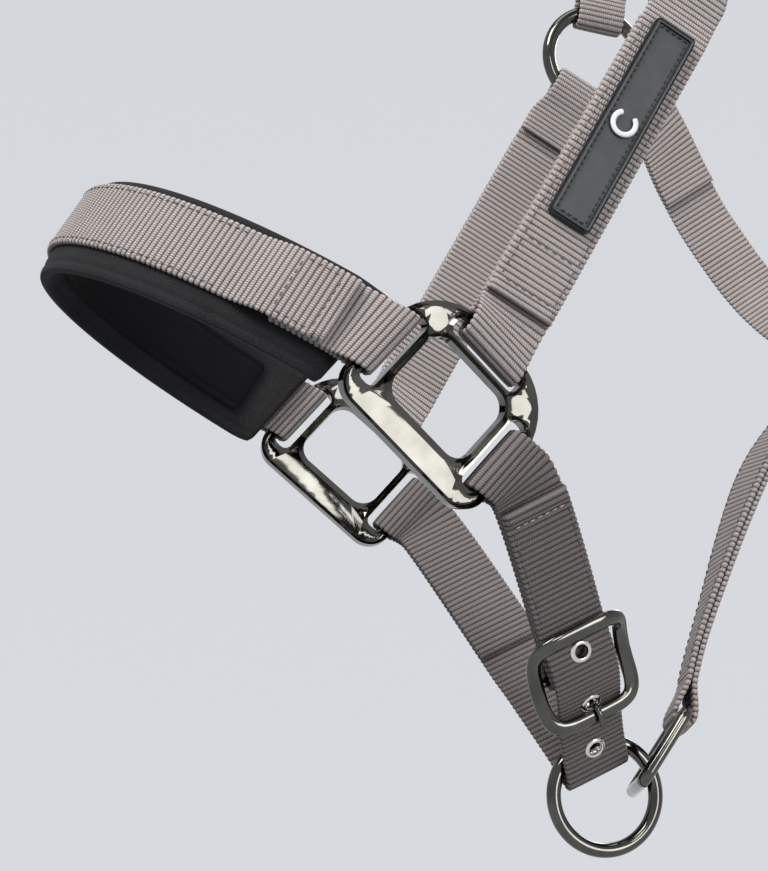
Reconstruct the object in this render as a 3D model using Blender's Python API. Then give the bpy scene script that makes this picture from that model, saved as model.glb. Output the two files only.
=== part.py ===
"""Headcollar for a horse: nylon webbing, padded noseband and crown, cast metal fittings.

Frame: +Z up, nose towards -X, the horse's left (near) side at -Y.  The layout is drawn in
millimetres from the point midway between the two square fittings.  The row's own origin is the
poll seat: the underside of the crown pad on the centre plane.
"""
import math

import bmesh
import bpy
from mathutils import Matrix, Vector

MM = 0.001
SIDE = Vector((0.0, 1.0, 0.0))
NEAR, FAR = -1, 1

# ---- driving dimensions (mm, degrees) ----
WEB_WIDTH = 25.0
WEB = 1.9                    # webbing thickness
GAP = 0.3                    # clearance between touching pieces
HALF_PLY = (WEB + GAP) / 2   # offset of each of two plies lying together
TOP_PLY = 3 * HALF_PLY       # offset of a third ply on top of them
MUZZLE_HALF = 65.5           # centre plane to the middle of a square fitting
JAW_HALF = 69.0              # centre plane to the middle of a side ring

SQUARE_ANGLE = 48.0          # direction from the window to the cheek slot
SQUARE_TURN = 8.0            # chin side of each square fitting turned inwards
SQUARE_THICK = 5.0
SQUARE_BEVEL = 1.2
SQUARE_HALF_LENGTH = 31.2
SQUARE_TOP, SQUARE_BOTTOM = 26.3, 24.6   # window centre to the cheek edge and the plain edge
SLOT_HALF = 14.3
SLOT_INNER, SLOT_OUTER = 20.5, 27.3
CHEEK_INNER, CHEEK_OUTER, CHEEK_SLOT_HALF = 16.0, 22.6, 14.9
SIDE_SLOT_SHIFT = -2.5       # noseband and chin slots sit a little below the middle
WINDOW_HALF = (17.6, 13.7)
SLOT_HOOK = (5.2, 3.9)       # reach and half height of a loop round a slot's bar

NOSE_ANGLE = 151.5           # direction the noseband reaches forwards
NOSE_WIDTH_ANGLE = 58.0
NOSE_REACH = 107.0
PAD_THICK = 5.0
PAD_ABOVE, PAD_BELOW = 3.5, 9.0
LINING_THICK = 1.8
LINING_WIDTH = 22.0

SIDE_RING_X, SIDE_RING_Z = 105.0, 174.0
SIDE_RING_RADIUS, SIDE_RING_WIRE = 20.3, 2.7
RING_HOOK = (7.3, 4.1)
RING_LOOP_WIDTH = 20.0       # webbing drawn in where it passes round a side ring

CHIN_RING_X, CHIN_RING_Z = 76.7, -128.0
CHIN_RING_RADIUS, CHIN_RING_WIRE = 19.2, 2.6
CHIN_FOLD_ANGLE = 24.8       # fold line of the chin strap in the ring
BUCKLE_AT_CHIN = 81.7        # buckle's centre bar, along the strap from the near square

LINK_TOP = Vector((106.1, 0.0, -101.4))
LINK_ANGLE = 234.5
LINK_TWIST = 17.0            # link and jowl strap hang turned towards the near side
LINK_LENGTH, LINK_HALF, LINK_WIRE = 29.0, 16.5, 2.3

CROWN_ANGLE = 83.0
CROWN_SIDE, CROWN_HALF, CROWN_RISE = 190.0, 60.0, 62.0
CROWN_PAD_THICK, CROWN_PAD_WIDTH, CROWN_PAD_HALF = 5.0, 38.0, 92.0
BUCKLE_AT_CROWN = 92.0

THROAT_ANGLE = -56.3
THROAT_RING_ANGLE = -37.5    # where the throatlash leaves the far ring

BUCKLE_HALF_WIDTH, BUCKLE_HALF_LENGTH = 17.2, 18.0
BUCKLE_WIRE = (2.8, 1.7)
BUCKLE_BAR = 1.6
TONGUE_WIRE = 1.0
EYELET_FLANGE, EYELET_BORE, EYELET_RIM = 4.0, 2.2, 0.4

BADGE_AT = 87.0              # along the near cheek strap, from the bar of its slot
BADGE_HALF_LENGTH, BADGE_HALF_WIDTH, BADGE_THICK = 40.0, 7.9, 2.2

SNAP_AXIS_OUT = 6.5          # snap's barrel stands this far outside the near ring's plane
SNAP_EYE_WIRE = 2.0


def direction(angle):
    """Unit vector in the centre plane, measured from +X towards +Z."""
    turn = math.radians(angle)
    return Vector((math.cos(turn), 0.0, math.sin(turn)))


def smoothstep(t):
    t = min(max(t, 0.0), 1.0)
    return t * t * (3 - 2 * t)


def spline(points, per_span=8):
    """Smooth curve through the points (Catmull-Rom)."""
    ends = [2 * points[0] - points[1], *points, 2 * points[-1] - points[-2]]
    curve = []
    for a, b, c, d in zip(ends, ends[1:], ends[2:], ends[3:]):
        for step in range(per_span):
            t = step / per_span
            curve.append(0.5 * (2 * b + (c - a) * t + (2 * a - 5 * b + 4 * c - d) * t * t
                                + (3 * b - a - 3 * c + d) * t ** 3))
    return curve + [points[-1]]


def mirrored(points):
    """The far side's copy of a near-side polyline, in reverse order."""
    return [Vector((p.x, -p.y, p.z)) for p in reversed(points)]


class Route:
    """Middle line of a strap, with the direction of its width along it.

    widths is a list of (distance, unit vector); outward is +1 or -1 and picks the strap's face.
    """

    def __init__(self, points, widths, outward, end_widths=(WEB_WIDTH, WEB_WIDTH)):
        self.points = points
        self.marks = [0.0]
        for a, b in zip(points, points[1:]):
            self.marks.append(self.marks[-1] + (b - a).length)
        self.length = self.marks[-1]
        self.widths = [(s if s >= 0 else self.length + s, w) for s, w in widths]
        self.outward = outward
        self.end_widths = end_widths

    def place(self, s):
        for i in range(len(self.points) - 1):
            if s <= self.marks[i + 1] or i == len(self.points) - 2:
                t = (s - self.marks[i]) / (self.marks[i + 1] - self.marks[i])
                return self.points[i].lerp(self.points[i + 1], t)

    def width(self, s):
        before = self.widths[0]
        for after in self.widths:
            if s < after[0]:
                t = smoothstep((s - before[0]) / (after[0] - before[0]))
                return before[1].lerp(after[1], t).normalized()
            before = after
        return before[1]

    def frame(self, s):
        """Place, tangent, outward normal and half width."""
        tangent = (self.place(s + 1.5) - self.place(s - 1.5)).normalized()
        width = self.width(s)
        normal = self.outward * tangent.cross(width).normalized()
        near_end = min(s, self.length - s)
        end_width = self.end_widths[s > self.length / 2]
        wide = end_width + (WEB_WIDTH - end_width) * smoothstep((near_end - 4) / 11)
        return self.place(s), tangent, normal, width * wide / 2

    def run(self, marks, step=9.0, inner=False):
        """Stations of a ply through (distance, offset) marks; inner plies face the other way."""
        stations = []
        for (s0, d0), (s1, d1) in zip(marks, marks[1:]):
            count = max(1, math.ceil(abs(s1 - s0) / step))
            for i in range(count + (s1 == marks[-1][0])):
                s = s0 + (s1 - s0) * i / count
                offset = d0 + (d1 - d0) * smoothstep(i / count)
                place, _, normal, half = self.frame(s)
                stations.append((place + offset * normal, -normal if inner else normal, half))
        return stations

    def hook(self, at_end, reach, height, power=2.0, segments=7):
        """Stations of the turn round a bar at the route's end, from the outer to the inner side."""
        place, tangent, normal, half = self.frame(self.length if at_end else 0.0)
        away = tangent if at_end else -tangent
        stations = []
        for i in range(1, segments):
            turn = math.pi * i / segments
            x = math.copysign(abs(math.cos(turn)) ** (2 / power), math.cos(turn))
            y = math.sin(turn) ** (2 / power)
            face = (math.copysign(abs(x) ** (power - 1), x) / height * normal
                    + y ** (power - 1) / reach * away).normalized()
            stations.append((place + x * height * normal + y * reach * away, face, half))
        return stations


# ---- materials and objects ----

def material(name, colour, roughness, metallic=0.0):
    made = bpy.data.materials.new(name)
    made.use_nodes = True
    shader = made.node_tree.nodes["Principled BSDF"]
    shader.inputs["Base Color"].default_value = (*colour, 1.0)
    shader.inputs["Roughness"].default_value = roughness
    shader.inputs["Metallic"].default_value = metallic
    made.diffuse_color = (*colour, 1.0)
    return made


def place_object(name, bm, made_of, origin=None, smooth=False):
    """Turns a mesh drawn in layout millimetres into an object whose origin is on its own axis."""
    origin = origin or Vector()
    bmesh.ops.recalc_face_normals(bm, faces=bm.faces)
    bmesh.ops.transform(bm, matrix=Matrix.Scale(MM, 4) @ Matrix.Translation(-origin), verts=bm.verts)
    mesh = bpy.data.meshes.new(name)
    bm.to_mesh(mesh)
    bm.free()
    if smooth:
        mesh.shade_smooth()
        mesh.set_sharp_from_angle(angle=math.radians(35))
    mesh.materials.append(made_of)
    made = bpy.data.objects.new(name, mesh)
    bpy.context.scene.collection.objects.link(made)
    made.parent = ROOT
    made.location = origin * MM
    return made


def bridge(bm, rings, closed, caps=True):
    """Skins a row of vertex rings; open rows get flat ends."""
    pairs = list(zip(rings, rings[1:]))
    if closed:
        pairs.append((rings[-1], rings[0]))
    for a, b in pairs:
        count = len(a)
        for i in range(count):
            bm.faces.new((a[i], a[(i + 1) % count], b[(i + 1) % count], b[i]))
    if caps and not closed:
        bm.faces.new(rings[0])
        bm.faces.new(rings[-1])


def band(name, stations, made_of, thick=WEB, width=None, shift=0.0, closed=False):
    """Flat strap through stations of (place, face normal, half width)."""
    bm = bmesh.new()
    rings = []
    for place, normal, half in stations:
        across = half if width is None else half.normalized() * width / 2
        middle = place + half.normalized() * shift
        up = normal * thick / 2
        corners = (middle + across + up, middle - across + up,
                   middle - across - up, middle + across - up)
        rings.append([bm.verts.new(corner) for corner in corners])
    bridge(bm, rings, closed)
    return place_object(name, bm, made_of)


def tube_mesh(path, radii, closed=False, ups=None, sides=10):
    """Bar of elliptical section swept along a path; ups gives the direction of its thickness."""
    bm = bmesh.new()
    rings = []
    count = len(path)
    up = Vector((0.31, 0.87, 0.22)).normalized()
    for i, place in enumerate(path):
        before = path[i - 1] if closed or i else path[0]
        after = path[(i + 1) % count] if closed or i < count - 1 else path[-1]
        along = (after - before).normalized()
        if ups:
            up = ups[i]
        up = (up - up.dot(along) * along).normalized()
        across = along.cross(up)
        rings.append([bm.verts.new(place + math.cos(a) * radii[0] * across
                                   + math.sin(a) * radii[1] * up)
                      for a in (2 * math.pi * k / sides for k in range(sides))])
    bridge(bm, rings, closed)
    return bm


def turned_mesh(centre, axis, profile, sides=16, closed=False):
    """Profile of (radius, height) turned about an axis; a closed profile makes a ring."""
    axis = axis.normalized()
    across = axis.orthogonal().normalized()
    over = axis.cross(across)
    bm = bmesh.new()
    rings = []
    for radius, height in profile:
        rings.append([bm.verts.new(centre + height * axis
                                   + radius * (math.cos(a) * across + math.sin(a) * over))
                      for a in (2 * math.pi * k / sides for k in range(sides))])
    bridge(bm, rings, closed)
    return bm


def ring_path(centre, radius, right, up, count=32):
    return [centre + radius * (math.cos(a) * right + math.sin(a) * up)
            for a in (2 * math.pi * k / count for k in range(count))]


def rounded(low, high, radii, grow=0.0, arc=4):
    """Rounded rectangle; radii are for the lower left, lower right, upper right, upper left."""
    x0, y0, x1, y1 = low[0] - grow, low[1] - grow, high[0] + grow, high[1] + grow
    points = []
    corners = ((x0, y0, 1, 1, 180), (x1, y0, -1, 1, 270), (x1, y1, -1, -1, 0), (x0, y1, 1, -1, 90))
    for (x, y, sx, sy, start), radius in zip(corners, radii):
        r = radius + grow
        for k in range(arc + 1):
            a = math.radians(start + 90 * k / arc)
            points.append((x + sx * r + r * math.cos(a), y + sy * r + r * math.sin(a)))
    return points


def plate_mesh(outline, holes, thick, bevel, frame):
    """Flat casting with bevelled edges; frame is (centre, right, up, face normal)."""
    centre, right, up, face = frame
    bm = bmesh.new()
    levels = ((-thick / 2, bevel), (-thick / 2 + bevel, 0), (thick / 2 - bevel, 0), (thick / 2, bevel))
    loops = [(outline, -1)] + [(hole, 1) for hole in holes]
    rims = ([], [])
    for shape, sense in loops:
        rings = []
        for height, inset in levels:
            rings.append([bm.verts.new(centre + x * right + y * up + height * face)
                          for x, y in rounded(*shape, grow=sense * inset, arc=3)])
        bridge(bm, rings, closed=False, caps=False)
        for rim, ring in zip(rims, (rings[0], rings[-1])):
            rim.extend(bm.edges.get((a, b)) for a, b in zip(ring, ring[1:] + ring[:1]))
    for rim in rims:
        bmesh.ops.triangle_fill(bm, use_beauty=True, edges=rim)
    return bm


def combine(target, bm, operation):
    """Unites a mesh with an object, or cuts it away; the tool stays as a hidden guide."""
    tool = place_object(target.name + "_" + operation.lower() + "_tool", bm, target.data.materials[0])
    tool.hide_render = True
    tool.display_type = "WIRE"
    step = target.modifiers.new(operation.title(), "BOOLEAN")
    step.operation = operation
    step.solver = "EXACT"
    step.object = tool


def box_mesh(centre, halves):
    """Block from its centre and three half-edge vectors."""
    bm = bmesh.new()
    a, b, c = halves
    corners = ((1, 1), (-1, 1), (-1, -1), (1, -1))
    rings = [[bm.verts.new(centre + i * a + j * b + k * c) for i, j in corners] for k in (-1, 1)]
    bridge(bm, rings, closed=False)
    return bm


# ---- square fittings ----

CHEEK_WAY = direction(SQUARE_ANGLE)


def chin_way(side):
    """Direction from a square fitting's window to its chin slot."""
    turn = math.radians(SQUARE_TURN)
    return math.cos(turn) * direction(SQUARE_ANGLE - 90) - side * math.sin(turn) * SIDE


def square_bar(side, slot):
    """Middle of the outer bar of the named slot."""
    centre = side * MUZZLE_HALF * SIDE
    if slot == "cheek":
        return centre + (CHEEK_OUTER + SQUARE_TOP) / 2 * CHEEK_WAY
    reach = (SLOT_OUTER + SQUARE_HALF_LENGTH) / 2 * (1 if slot == "chin" else -1)
    return centre + reach * chin_way(side) + SIDE_SLOT_SHIFT * CHEEK_WAY


def build_square(name, side):
    along = chin_way(side)
    outline = ((-SQUARE_HALF_LENGTH, -SQUARE_BOTTOM), (SQUARE_HALF_LENGTH, SQUARE_TOP), (9, 9, 23, 23))
    low, high = SIDE_SLOT_SHIFT - SLOT_HALF, SIDE_SLOT_SHIFT + SLOT_HALF
    holes = [((-WINDOW_HALF[0], -WINDOW_HALF[1]), WINDOW_HALF, (6.5,) * 4),
             ((-SLOT_OUTER, low), (-SLOT_INNER, high), (2.6,) * 4),
             ((SLOT_INNER, low), (SLOT_OUTER, high), (2.6,) * 4),
             ((-CHEEK_SLOT_HALF, CHEEK_INNER), (CHEEK_SLOT_HALF, CHEEK_OUTER), (2.6,) * 4)]
    frame = (side * MUZZLE_HALF * SIDE, along, CHEEK_WAY, along.cross(CHEEK_WAY).normalized())
    bm = plate_mesh(outline, holes, SQUARE_THICK, SQUARE_BEVEL, frame)
    return place_object(name, bm, METAL, smooth=True)


# ---- strap routes ----

def noseband_route():
    forward, width = direction(NOSE_ANGLE), direction(NOSE_WIDTH_ANGLE)
    start = square_bar(NEAR, "nose")
    half = -start.y
    middle = Vector((start.x, 0.0, start.z))
    points = []
    for step in range(61):
        turn = math.pi * step / 60
        points.append(middle + NOSE_REACH * math.sin(turn) * forward - half * math.cos(turn) * SIDE)
    widths = [(0, CHEEK_WAY), (3, CHEEK_WAY), (15, width), (-15, width), (-3, CHEEK_WAY)]
    return Route(points, widths, -1)


def side_ring(side):
    return Vector((SIDE_RING_X, side * JAW_HALF, SIDE_RING_Z))


def cheek_route(side):
    start = square_bar(side, "cheek")
    level = (side_ring(side) - start).normalized()
    way = Vector((level.x, 0.0, level.z)).normalized()
    end = side_ring(side) - SIDE_RING_RADIUS * way
    width = Vector((way.z, 0.0, -way.x))
    widths = [(0, chin_way(side)), (3, chin_way(side)), (15, width)]
    return Route([start, end], widths, side, (WEB_WIDTH, RING_LOOP_WIDTH))


def chin_route():
    bar = square_bar(NEAR, "chin")
    near = [bar, Vector((30.5, -57.0, -31.5)), Vector((57.5, -27.0, -84.0)),
            Vector((69.5, -8.0, -110.0)), Vector((72.9, -3.2, -117.9))]
    bottom = Vector((74.2, 0.0, -120.9))
    half = spline(near + [bottom, Vector((72.9, 3.2, -117.9))], 6)[:31]
    points = half + mirrored(half[:-1])
    width, fold = direction(26.5), direction(CHIN_FOLD_ANGLE)
    widths = [(0, CHEEK_WAY), (3, CHEEK_WAY), (15, width), (110, fold), (-110, fold), (-15, width),
              (-3, CHEEK_WAY)]
    return Route(points, widths, 1)


def crown_route():
    """From the near ring over the poll to the far ring."""
    up, middle = direction(CROWN_ANGLE), Vector((SIDE_RING_X, 0.0, SIDE_RING_Z))
    points = [middle + SIDE_RING_RADIUS * up - JAW_HALF * SIDE]
    for step in range(37):
        turn = math.pi * step / 36
        points.append(middle + (CROWN_SIDE + CROWN_RISE * math.sin(turn)) * up
                      - CROWN_HALF * math.cos(turn) * SIDE)
    points.append(middle + SIDE_RING_RADIUS * up + JAW_HALF * SIDE)
    return Route(points, [(0, direction(CROWN_ANGLE - 90))], -1, (RING_LOOP_WIDTH,) * 2)


# near to far: distance down the throat plane, sideways, and across the plane, from the side rings
THROAT_LINE = ((79.0, -75.5, 0.0), (98.0, -73.5, 0.0), (121.0, -65.0, 0.0), (141.0, -49.0, 0.0),
               (154.0, -29.0, 0.0), (159.4, -13.0, 0.0), (160.0, 0.0, 0.0), (159.4, 13.0, 0.0),
               (154.0, 29.0, 0.0), (140.0, 49.0, 0.3), (120.0, 62.0, 0.8), (94.0, 68.0, 1.8),
               (66.0, 69.3, 4.0), (46.0, 69.2, 6.8))
THROAT_LOW = 160.0
THROAT_WAY = direction(THROAT_ANGLE)
THROAT_ACROSS = direction(THROAT_ANGLE + 90)


def throat_route():
    middle = Vector((SIDE_RING_X, 0.0, SIDE_RING_Z))
    points = [middle + u * THROAT_WAY + y * SIDE + across * THROAT_ACROSS
              for u, y, across in THROAT_LINE]
    leave = direction(THROAT_RING_ANGLE)
    points.extend(side_ring(FAR) + (SIDE_RING_RADIUS + further) * leave for further in (8, 3.5, 0))
    start = direction(THROAT_RING_ANGLE + 90)
    return Route(spline(points, 5), [(0, THROAT_ACROSS), (-45, THROAT_ACROSS), (-6, start)], 1,
                 (WEB_WIDTH, RING_LOOP_WIDTH))


def link_way():
    """Direction of the link's bars."""
    turn = math.radians(LINK_TWIST)
    return math.cos(turn) * SIDE + math.sin(turn) * direction(LINK_ANGLE + 90)


def jowl_route():
    """From the link's upper bar along the jaw, then flat round the throatlash."""
    throat = Vector((SIDE_RING_X, 0.0, SIDE_RING_Z)) + THROAT_LOW * THROAT_WAY
    edge = WEB_WIDTH / 2 * THROAT_ACROSS
    points = [LINK_TOP, Vector((112.0, 0, -79.0)), Vector((120.5, 0, -55.0)),
              Vector((129.5, 0, -31.0)), Vector((139.0, 0, -10.0)), Vector((151.0, 0, 7.0)),
              Vector((166.0, 0, 21.5)),
              throat - edge, throat, throat + edge]
    return Route(spline(points, 5), [(0, link_way()), (20, link_way()), (110, SIDE)], 1)


# ---- straps ----

def offset_at(marks, s):
    for (s0, d0), (s1, d1) in zip(marks, marks[1:]):
        if s <= s1:
            return d0 + (d1 - d0) * smoothstep((s - s0) / (s1 - s0))
    return marks[-1][1]


def hooked_ply(route, at_end, hook, outer, inner, power=3.0, step=9.0):
    """Stations of a ply that comes in on the outer side, turns round a bar and goes back inside.

    outer and inner are (distance, offset) marks of each leg, away from the bar.
    """
    bar = route.length if at_end else 0.0
    turn = [(bar + (-13 if at_end else 13), HALF_PLY), (bar, hook[1])]
    out = route.run(outer + turn, step)
    back = route.run([(s, -d) for s, d in reversed(turn)] + [(s, -d) for s, d in inner], inner=True)
    return out + route.hook(at_end, *hook, power=power) + back


def double_ply(route, start, end, marks, start_power=3.0, end_power=2.0):
    """Stations of a closed loop of webbing round the bars at both ends of a stretch of the route."""
    outer = [(0, start[1])] + marks + [(route.length, end[1])]
    inner = [(s, -d) for s, d in reversed(outer)]
    round_end = route.hook(True, *end, power=end_power)
    round_start = route.hook(False, *start, power=start_power)
    return route.run(outer) + round_end + route.run(inner, inner=True) + list(reversed(round_start))


def cut_route(route, length):
    """The first stretch of a route, ending where the buckle's centre bar is."""
    count = max(2, round(length / 3))
    points = [route.place(length * i / count) for i in range(count + 1)]
    widths = [(length * i / count, route.width(length * i / count)) for i in range(count + 1)]
    made = Route(points, widths, route.outward, (route.end_widths[0], WEB_WIDTH))
    return made


# ---- buckles and eyelets ----

def buckle_frame(route, s):
    place, tangent, normal, half = route.frame(s)
    across = half.normalized()
    return place, tangent, normal, across


def build_buckle(prefix, route, s):
    """Frame with a centre bar, and a tongue that turns on the bar."""
    place, along, out, across = buckle_frame(route, s)
    path, ups = [], []
    count, power = 32, 5.0
    for k in range(count):
        a = 2 * math.pi * k / count
        u = math.copysign(abs(math.cos(a)) ** (2 / power), math.cos(a)) * BUCKLE_HALF_WIDTH
        v = math.copysign(abs(math.sin(a)) ** (2 / power), math.sin(a)) * BUCKLE_HALF_LENGTH
        rise = 1.3 + (v / BUCKLE_HALF_LENGTH) ** 2 * (4.2 if v > 0 else 6.4)
        path.append(place + u * across + v * along + rise * out)
        ups.append(out)
    frame = place_object(prefix + "_buckle_frame", tube_mesh(path, BUCKLE_WIRE, True, ups, 8), METAL,
                         smooth=True)
    bar_ends = [place - (BUCKLE_HALF_WIDTH - 0.6) * across, place + (BUCKLE_HALF_WIDTH - 0.6) * across]
    combine(frame, tube_mesh(bar_ends, (BUCKLE_BAR,) * 2), "UNION")
    shaft = [(2.1, -2.1), (6.0, -2.7), (10.3, -2.0), (12.4, 0.2), (13.3, 3.6), (14.3, 6.9),
             (17.0, 8.6), (21.2, 8.7)]
    curve = spline([place + v * along + d * out for v, d in shaft], 2)
    pin = tube_mesh(curve, (TONGUE_WIRE,) * 2, ups=[across] * len(curve), sides=6)
    tongue = place_object(prefix + "_buckle_tongue", pin, METAL, origin=place, smooth=True)
    eye = ring_path(place, BUCKLE_BAR + GAP + TONGUE_WIRE, along, out, 14)
    bm = tube_mesh(eye, (TONGUE_WIRE,) * 2, True, sides=6)
    combine(tongue, bm, "UNION")


def eyelet_axis(route, marks, s):
    def at(t):
        place, _, normal, half = route.frame(t)
        return place + offset_at(marks, t) * normal, normal, half
    middle, normal, half = at(s)
    slope = (at(s + 3)[0] - at(s - 3)[0]).normalized()
    axis = slope.cross(half.normalized())
    return middle, axis if axis.dot(normal) > 0 else -axis


def build_eyelets(prefix, strap, route, marks, places):
    for number, s in enumerate(places, 1):
        centre, axis = eyelet_axis(route, marks, s)
        face = WEB / 2 + GAP + 0.1
        rim = face + EYELET_RIM
        neck = EYELET_BORE + 0.6
        profile = [(EYELET_BORE, -rim), (EYELET_FLANGE, -rim), (EYELET_FLANGE, -face), (neck, -face),
                   (neck, face), (EYELET_FLANGE, face), (EYELET_FLANGE, rim), (EYELET_BORE, rim)]
        ring = turned_mesh(centre, axis, profile, 10, closed=True)
        place_object(f"{prefix}_eyelet_{number}", ring, BRIGHT, smooth=True)
        hole = [(neck + GAP, -3.0), (neck + GAP, 3.0)]
        combine_cut(strap, turned_mesh(centre, axis, hole, 10), number)


def combine_cut(made, bm, number):
    """Cuts one of several holes in an object."""
    tool = place_object(f"{made.name}_hole_{number}", bm, made.data.materials[0])
    tool.hide_render = True
    tool.display_type = "WIRE"
    step = made.modifiers.new(f"Hole {number}", "BOOLEAN")
    step.operation = "DIFFERENCE"
    step.solver = "EXACT"
    step.object = tool


def chape(name, route, s, start_hook):
    """Doubled webbing that holds the buckle's centre bar, with a slot for the tongue."""
    short = cut_route(route, s)
    bar = (BUCKLE_BAR + GAP + WEB / 2,) * 2
    stations = double_ply(short, start_hook, bar, [(13, HALF_PLY), (s - 10, HALF_PLY)])
    made = band(name, stations, WEBBING, closed=True)
    place, along, out, across = buckle_frame(route, s)
    combine(made, box_mesh(place, (6 * along, 1.8 * across, 8 * out)), "DIFFERENCE")
    return made


# ---- assembly ----

def build_noseband():
    route = noseband_route()
    end = route.length
    top = [(14, TOP_PLY), (34, TOP_PLY), (50, -HALF_PLY), (end - 50, -HALF_PLY),
           (end - 34, TOP_PLY), (end - 14, TOP_PLY)]
    band("noseband_webbing", route.run(top, 7), WEBBING)
    for name, at_end in (("noseband_near_loop", False), ("noseband_far_loop", True)):
        far = end if at_end else 0
        leg = [(abs(far - 33), HALF_PLY)]
        band(name, hooked_ply(route, at_end, SLOT_HOOK, leg, leg), WEBBING)
    pad_depth = -HALF_PLY - WEB / 2 - GAP - PAD_THICK / 2
    marks = [(5, pad_depth - 2.6), (18, pad_depth), (end - 18, pad_depth), (end - 5, pad_depth - 2.6)]
    middle = (PAD_ABOVE - PAD_BELOW) / 2
    band("noseband_pad", route.run(marks, 7), PADDING, PAD_THICK, WEB_WIDTH + PAD_ABOVE + PAD_BELOW, middle)
    lining_depth = pad_depth - PAD_THICK / 2 - GAP - LINING_THICK / 2
    lining = route.run([(20, lining_depth), (end - 20, lining_depth)], 7)
    band("noseband_lining", lining, LINING, LINING_THICK, LINING_WIDTH, middle)


def build_cheek(name, side):
    route = cheek_route(side)
    outer = [(14, TOP_PLY), (126, TOP_PLY), (138, HALF_PLY)]
    band(name + "_cheek_strap", hooked_ply(route, True, RING_HOOK, outer, [(134, HALF_PLY)]), WEBBING)
    loop = hooked_ply(route, False, SLOT_HOOK, [(122, HALF_PLY)], [(128, HALF_PLY)])
    band(name + "_cheek_loop", loop, WEBBING)
    ring = tube_mesh(ring_path(side_ring(side), SIDE_RING_RADIUS, direction(0), direction(90)),
                     (SIDE_RING_WIRE,) * 2, True, sides=8)
    place_object(name + "_cheek_ring", ring, METAL, origin=side_ring(side), smooth=True)
    return route


def build_badge(route):
    place, along, out, half = route.frame(BADGE_AT)
    base = TOP_PLY + WEB / 2 + GAP + BADGE_THICK / 2
    frame = (place + base * out, along, half.normalized(), out)
    size = (BADGE_HALF_LENGTH, BADGE_HALF_WIDTH)
    bm = plate_mesh(((-size[0], -size[1]), size, (1.6,) * 4), [], BADGE_THICK, 0.4, frame)
    place_object("badge", bm, RUBBER)
    centre = place + (base + BADGE_THICK / 2 + GAP + 0.4) * out
    arc = [centre + 4.0 * (math.cos(a) * along + math.sin(a) * frame[2])
           for a in (math.radians(40 + 28 * k) for k in range(11))]
    shoe = tube_mesh(arc, (0.9, 0.4), ups=[out] * len(arc), sides=6)
    place_object("badge_horseshoe", shoe, BRIGHT, smooth=True)


def build_chin():
    route = chin_route()
    end = route.length
    buckle = BUCKLE_AT_CHIN
    chape("chin_chape", route, buckle, SLOT_HOOK)
    outer = [(14, TOP_PLY), (buckle - 20, TOP_PLY), (buckle - 4, 5.3), (buckle, 5.3),
             (buckle + 25, 0.6), (buckle + 38, 0.0), (end - 90, 0.0), (end - 76, HALF_PLY)]
    stations = hooked_ply(route, True, SLOT_HOOK, outer, [(end - 70, HALF_PLY)], step=5.0)
    strap = band("chin_strap", stations, WEBBING)
    build_buckle("chin", route, buckle)
    build_eyelets("chin", strap, route, outer, [buckle + d for d in (-9.0, 13.4, 36.0, 58.5)])
    centre = Vector((CHIN_RING_X, 0.0, CHIN_RING_Z))
    fold = direction(CHIN_FOLD_ANGLE + 90)
    half = WEB_WIDTH / 2
    axis = centre + math.sqrt(CHIN_RING_RADIUS ** 2 - half ** 2) * fold
    path = ring_path(centre, CHIN_RING_RADIUS, direction(0), direction(90))
    ring = tube_mesh(path, (CHIN_RING_WIRE,) * 2, True, sides=8)
    place_object("chin_ring", ring, METAL, origin=axis, smooth=True)


def build_link():
    down = direction(LINK_ANGLE)
    corner = 3.4
    shape = rounded((-LINK_HALF, 0.0), (LINK_HALF, LINK_LENGTH), (corner,) * 4, arc=3)
    path = [LINK_TOP + x * link_way() + y * down for x, y in shape]
    link = tube_mesh(path, (LINK_WIRE,) * 2, True, sides=8)
    place_object("jowl_link", link, METAL, origin=LINK_TOP, smooth=True)


def build_crown():
    route = crown_route()
    end = route.length
    buckle = BUCKLE_AT_CROWN
    chape("crown_chape", route, buckle, RING_HOOK)
    outer = [(24, TOP_PLY), (buckle - 20, TOP_PLY), (buckle - 4, 5.3), (buckle, 5.3),
             (buckle + 25, 0.6), (buckle + 38, 0.0), (end - 100, 0.0), (end - 84, HALF_PLY)]
    strap = band("crown_strap", hooked_ply(route, True, RING_HOOK, outer, [(end - 76, HALF_PLY)]), WEBBING)
    build_buckle("crown", route, buckle)
    build_eyelets("crown", strap, route, outer, [buckle + d for d in (-9.0, 13.4, 36.0, 58.5)])
    build_keeper(route, 46.0)
    depth = -WEB / 2 - GAP - CROWN_PAD_THICK / 2
    low, high = end / 2 - CROWN_PAD_HALF, end / 2 + CROWN_PAD_HALF
    pad = route.run([(low, depth), (high, depth)], 7)
    band("crown_pad", pad, PADDING, CROWN_PAD_THICK, CROWN_PAD_WIDTH)
    depth -= CROWN_PAD_THICK / 2 + GAP + LINING_THICK / 2
    lining = route.run([(low + 10, depth), (high - 10, depth)], 7)
    band("crown_lining", lining, LINING, LINING_THICK, LINING_WIDTH)


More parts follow.
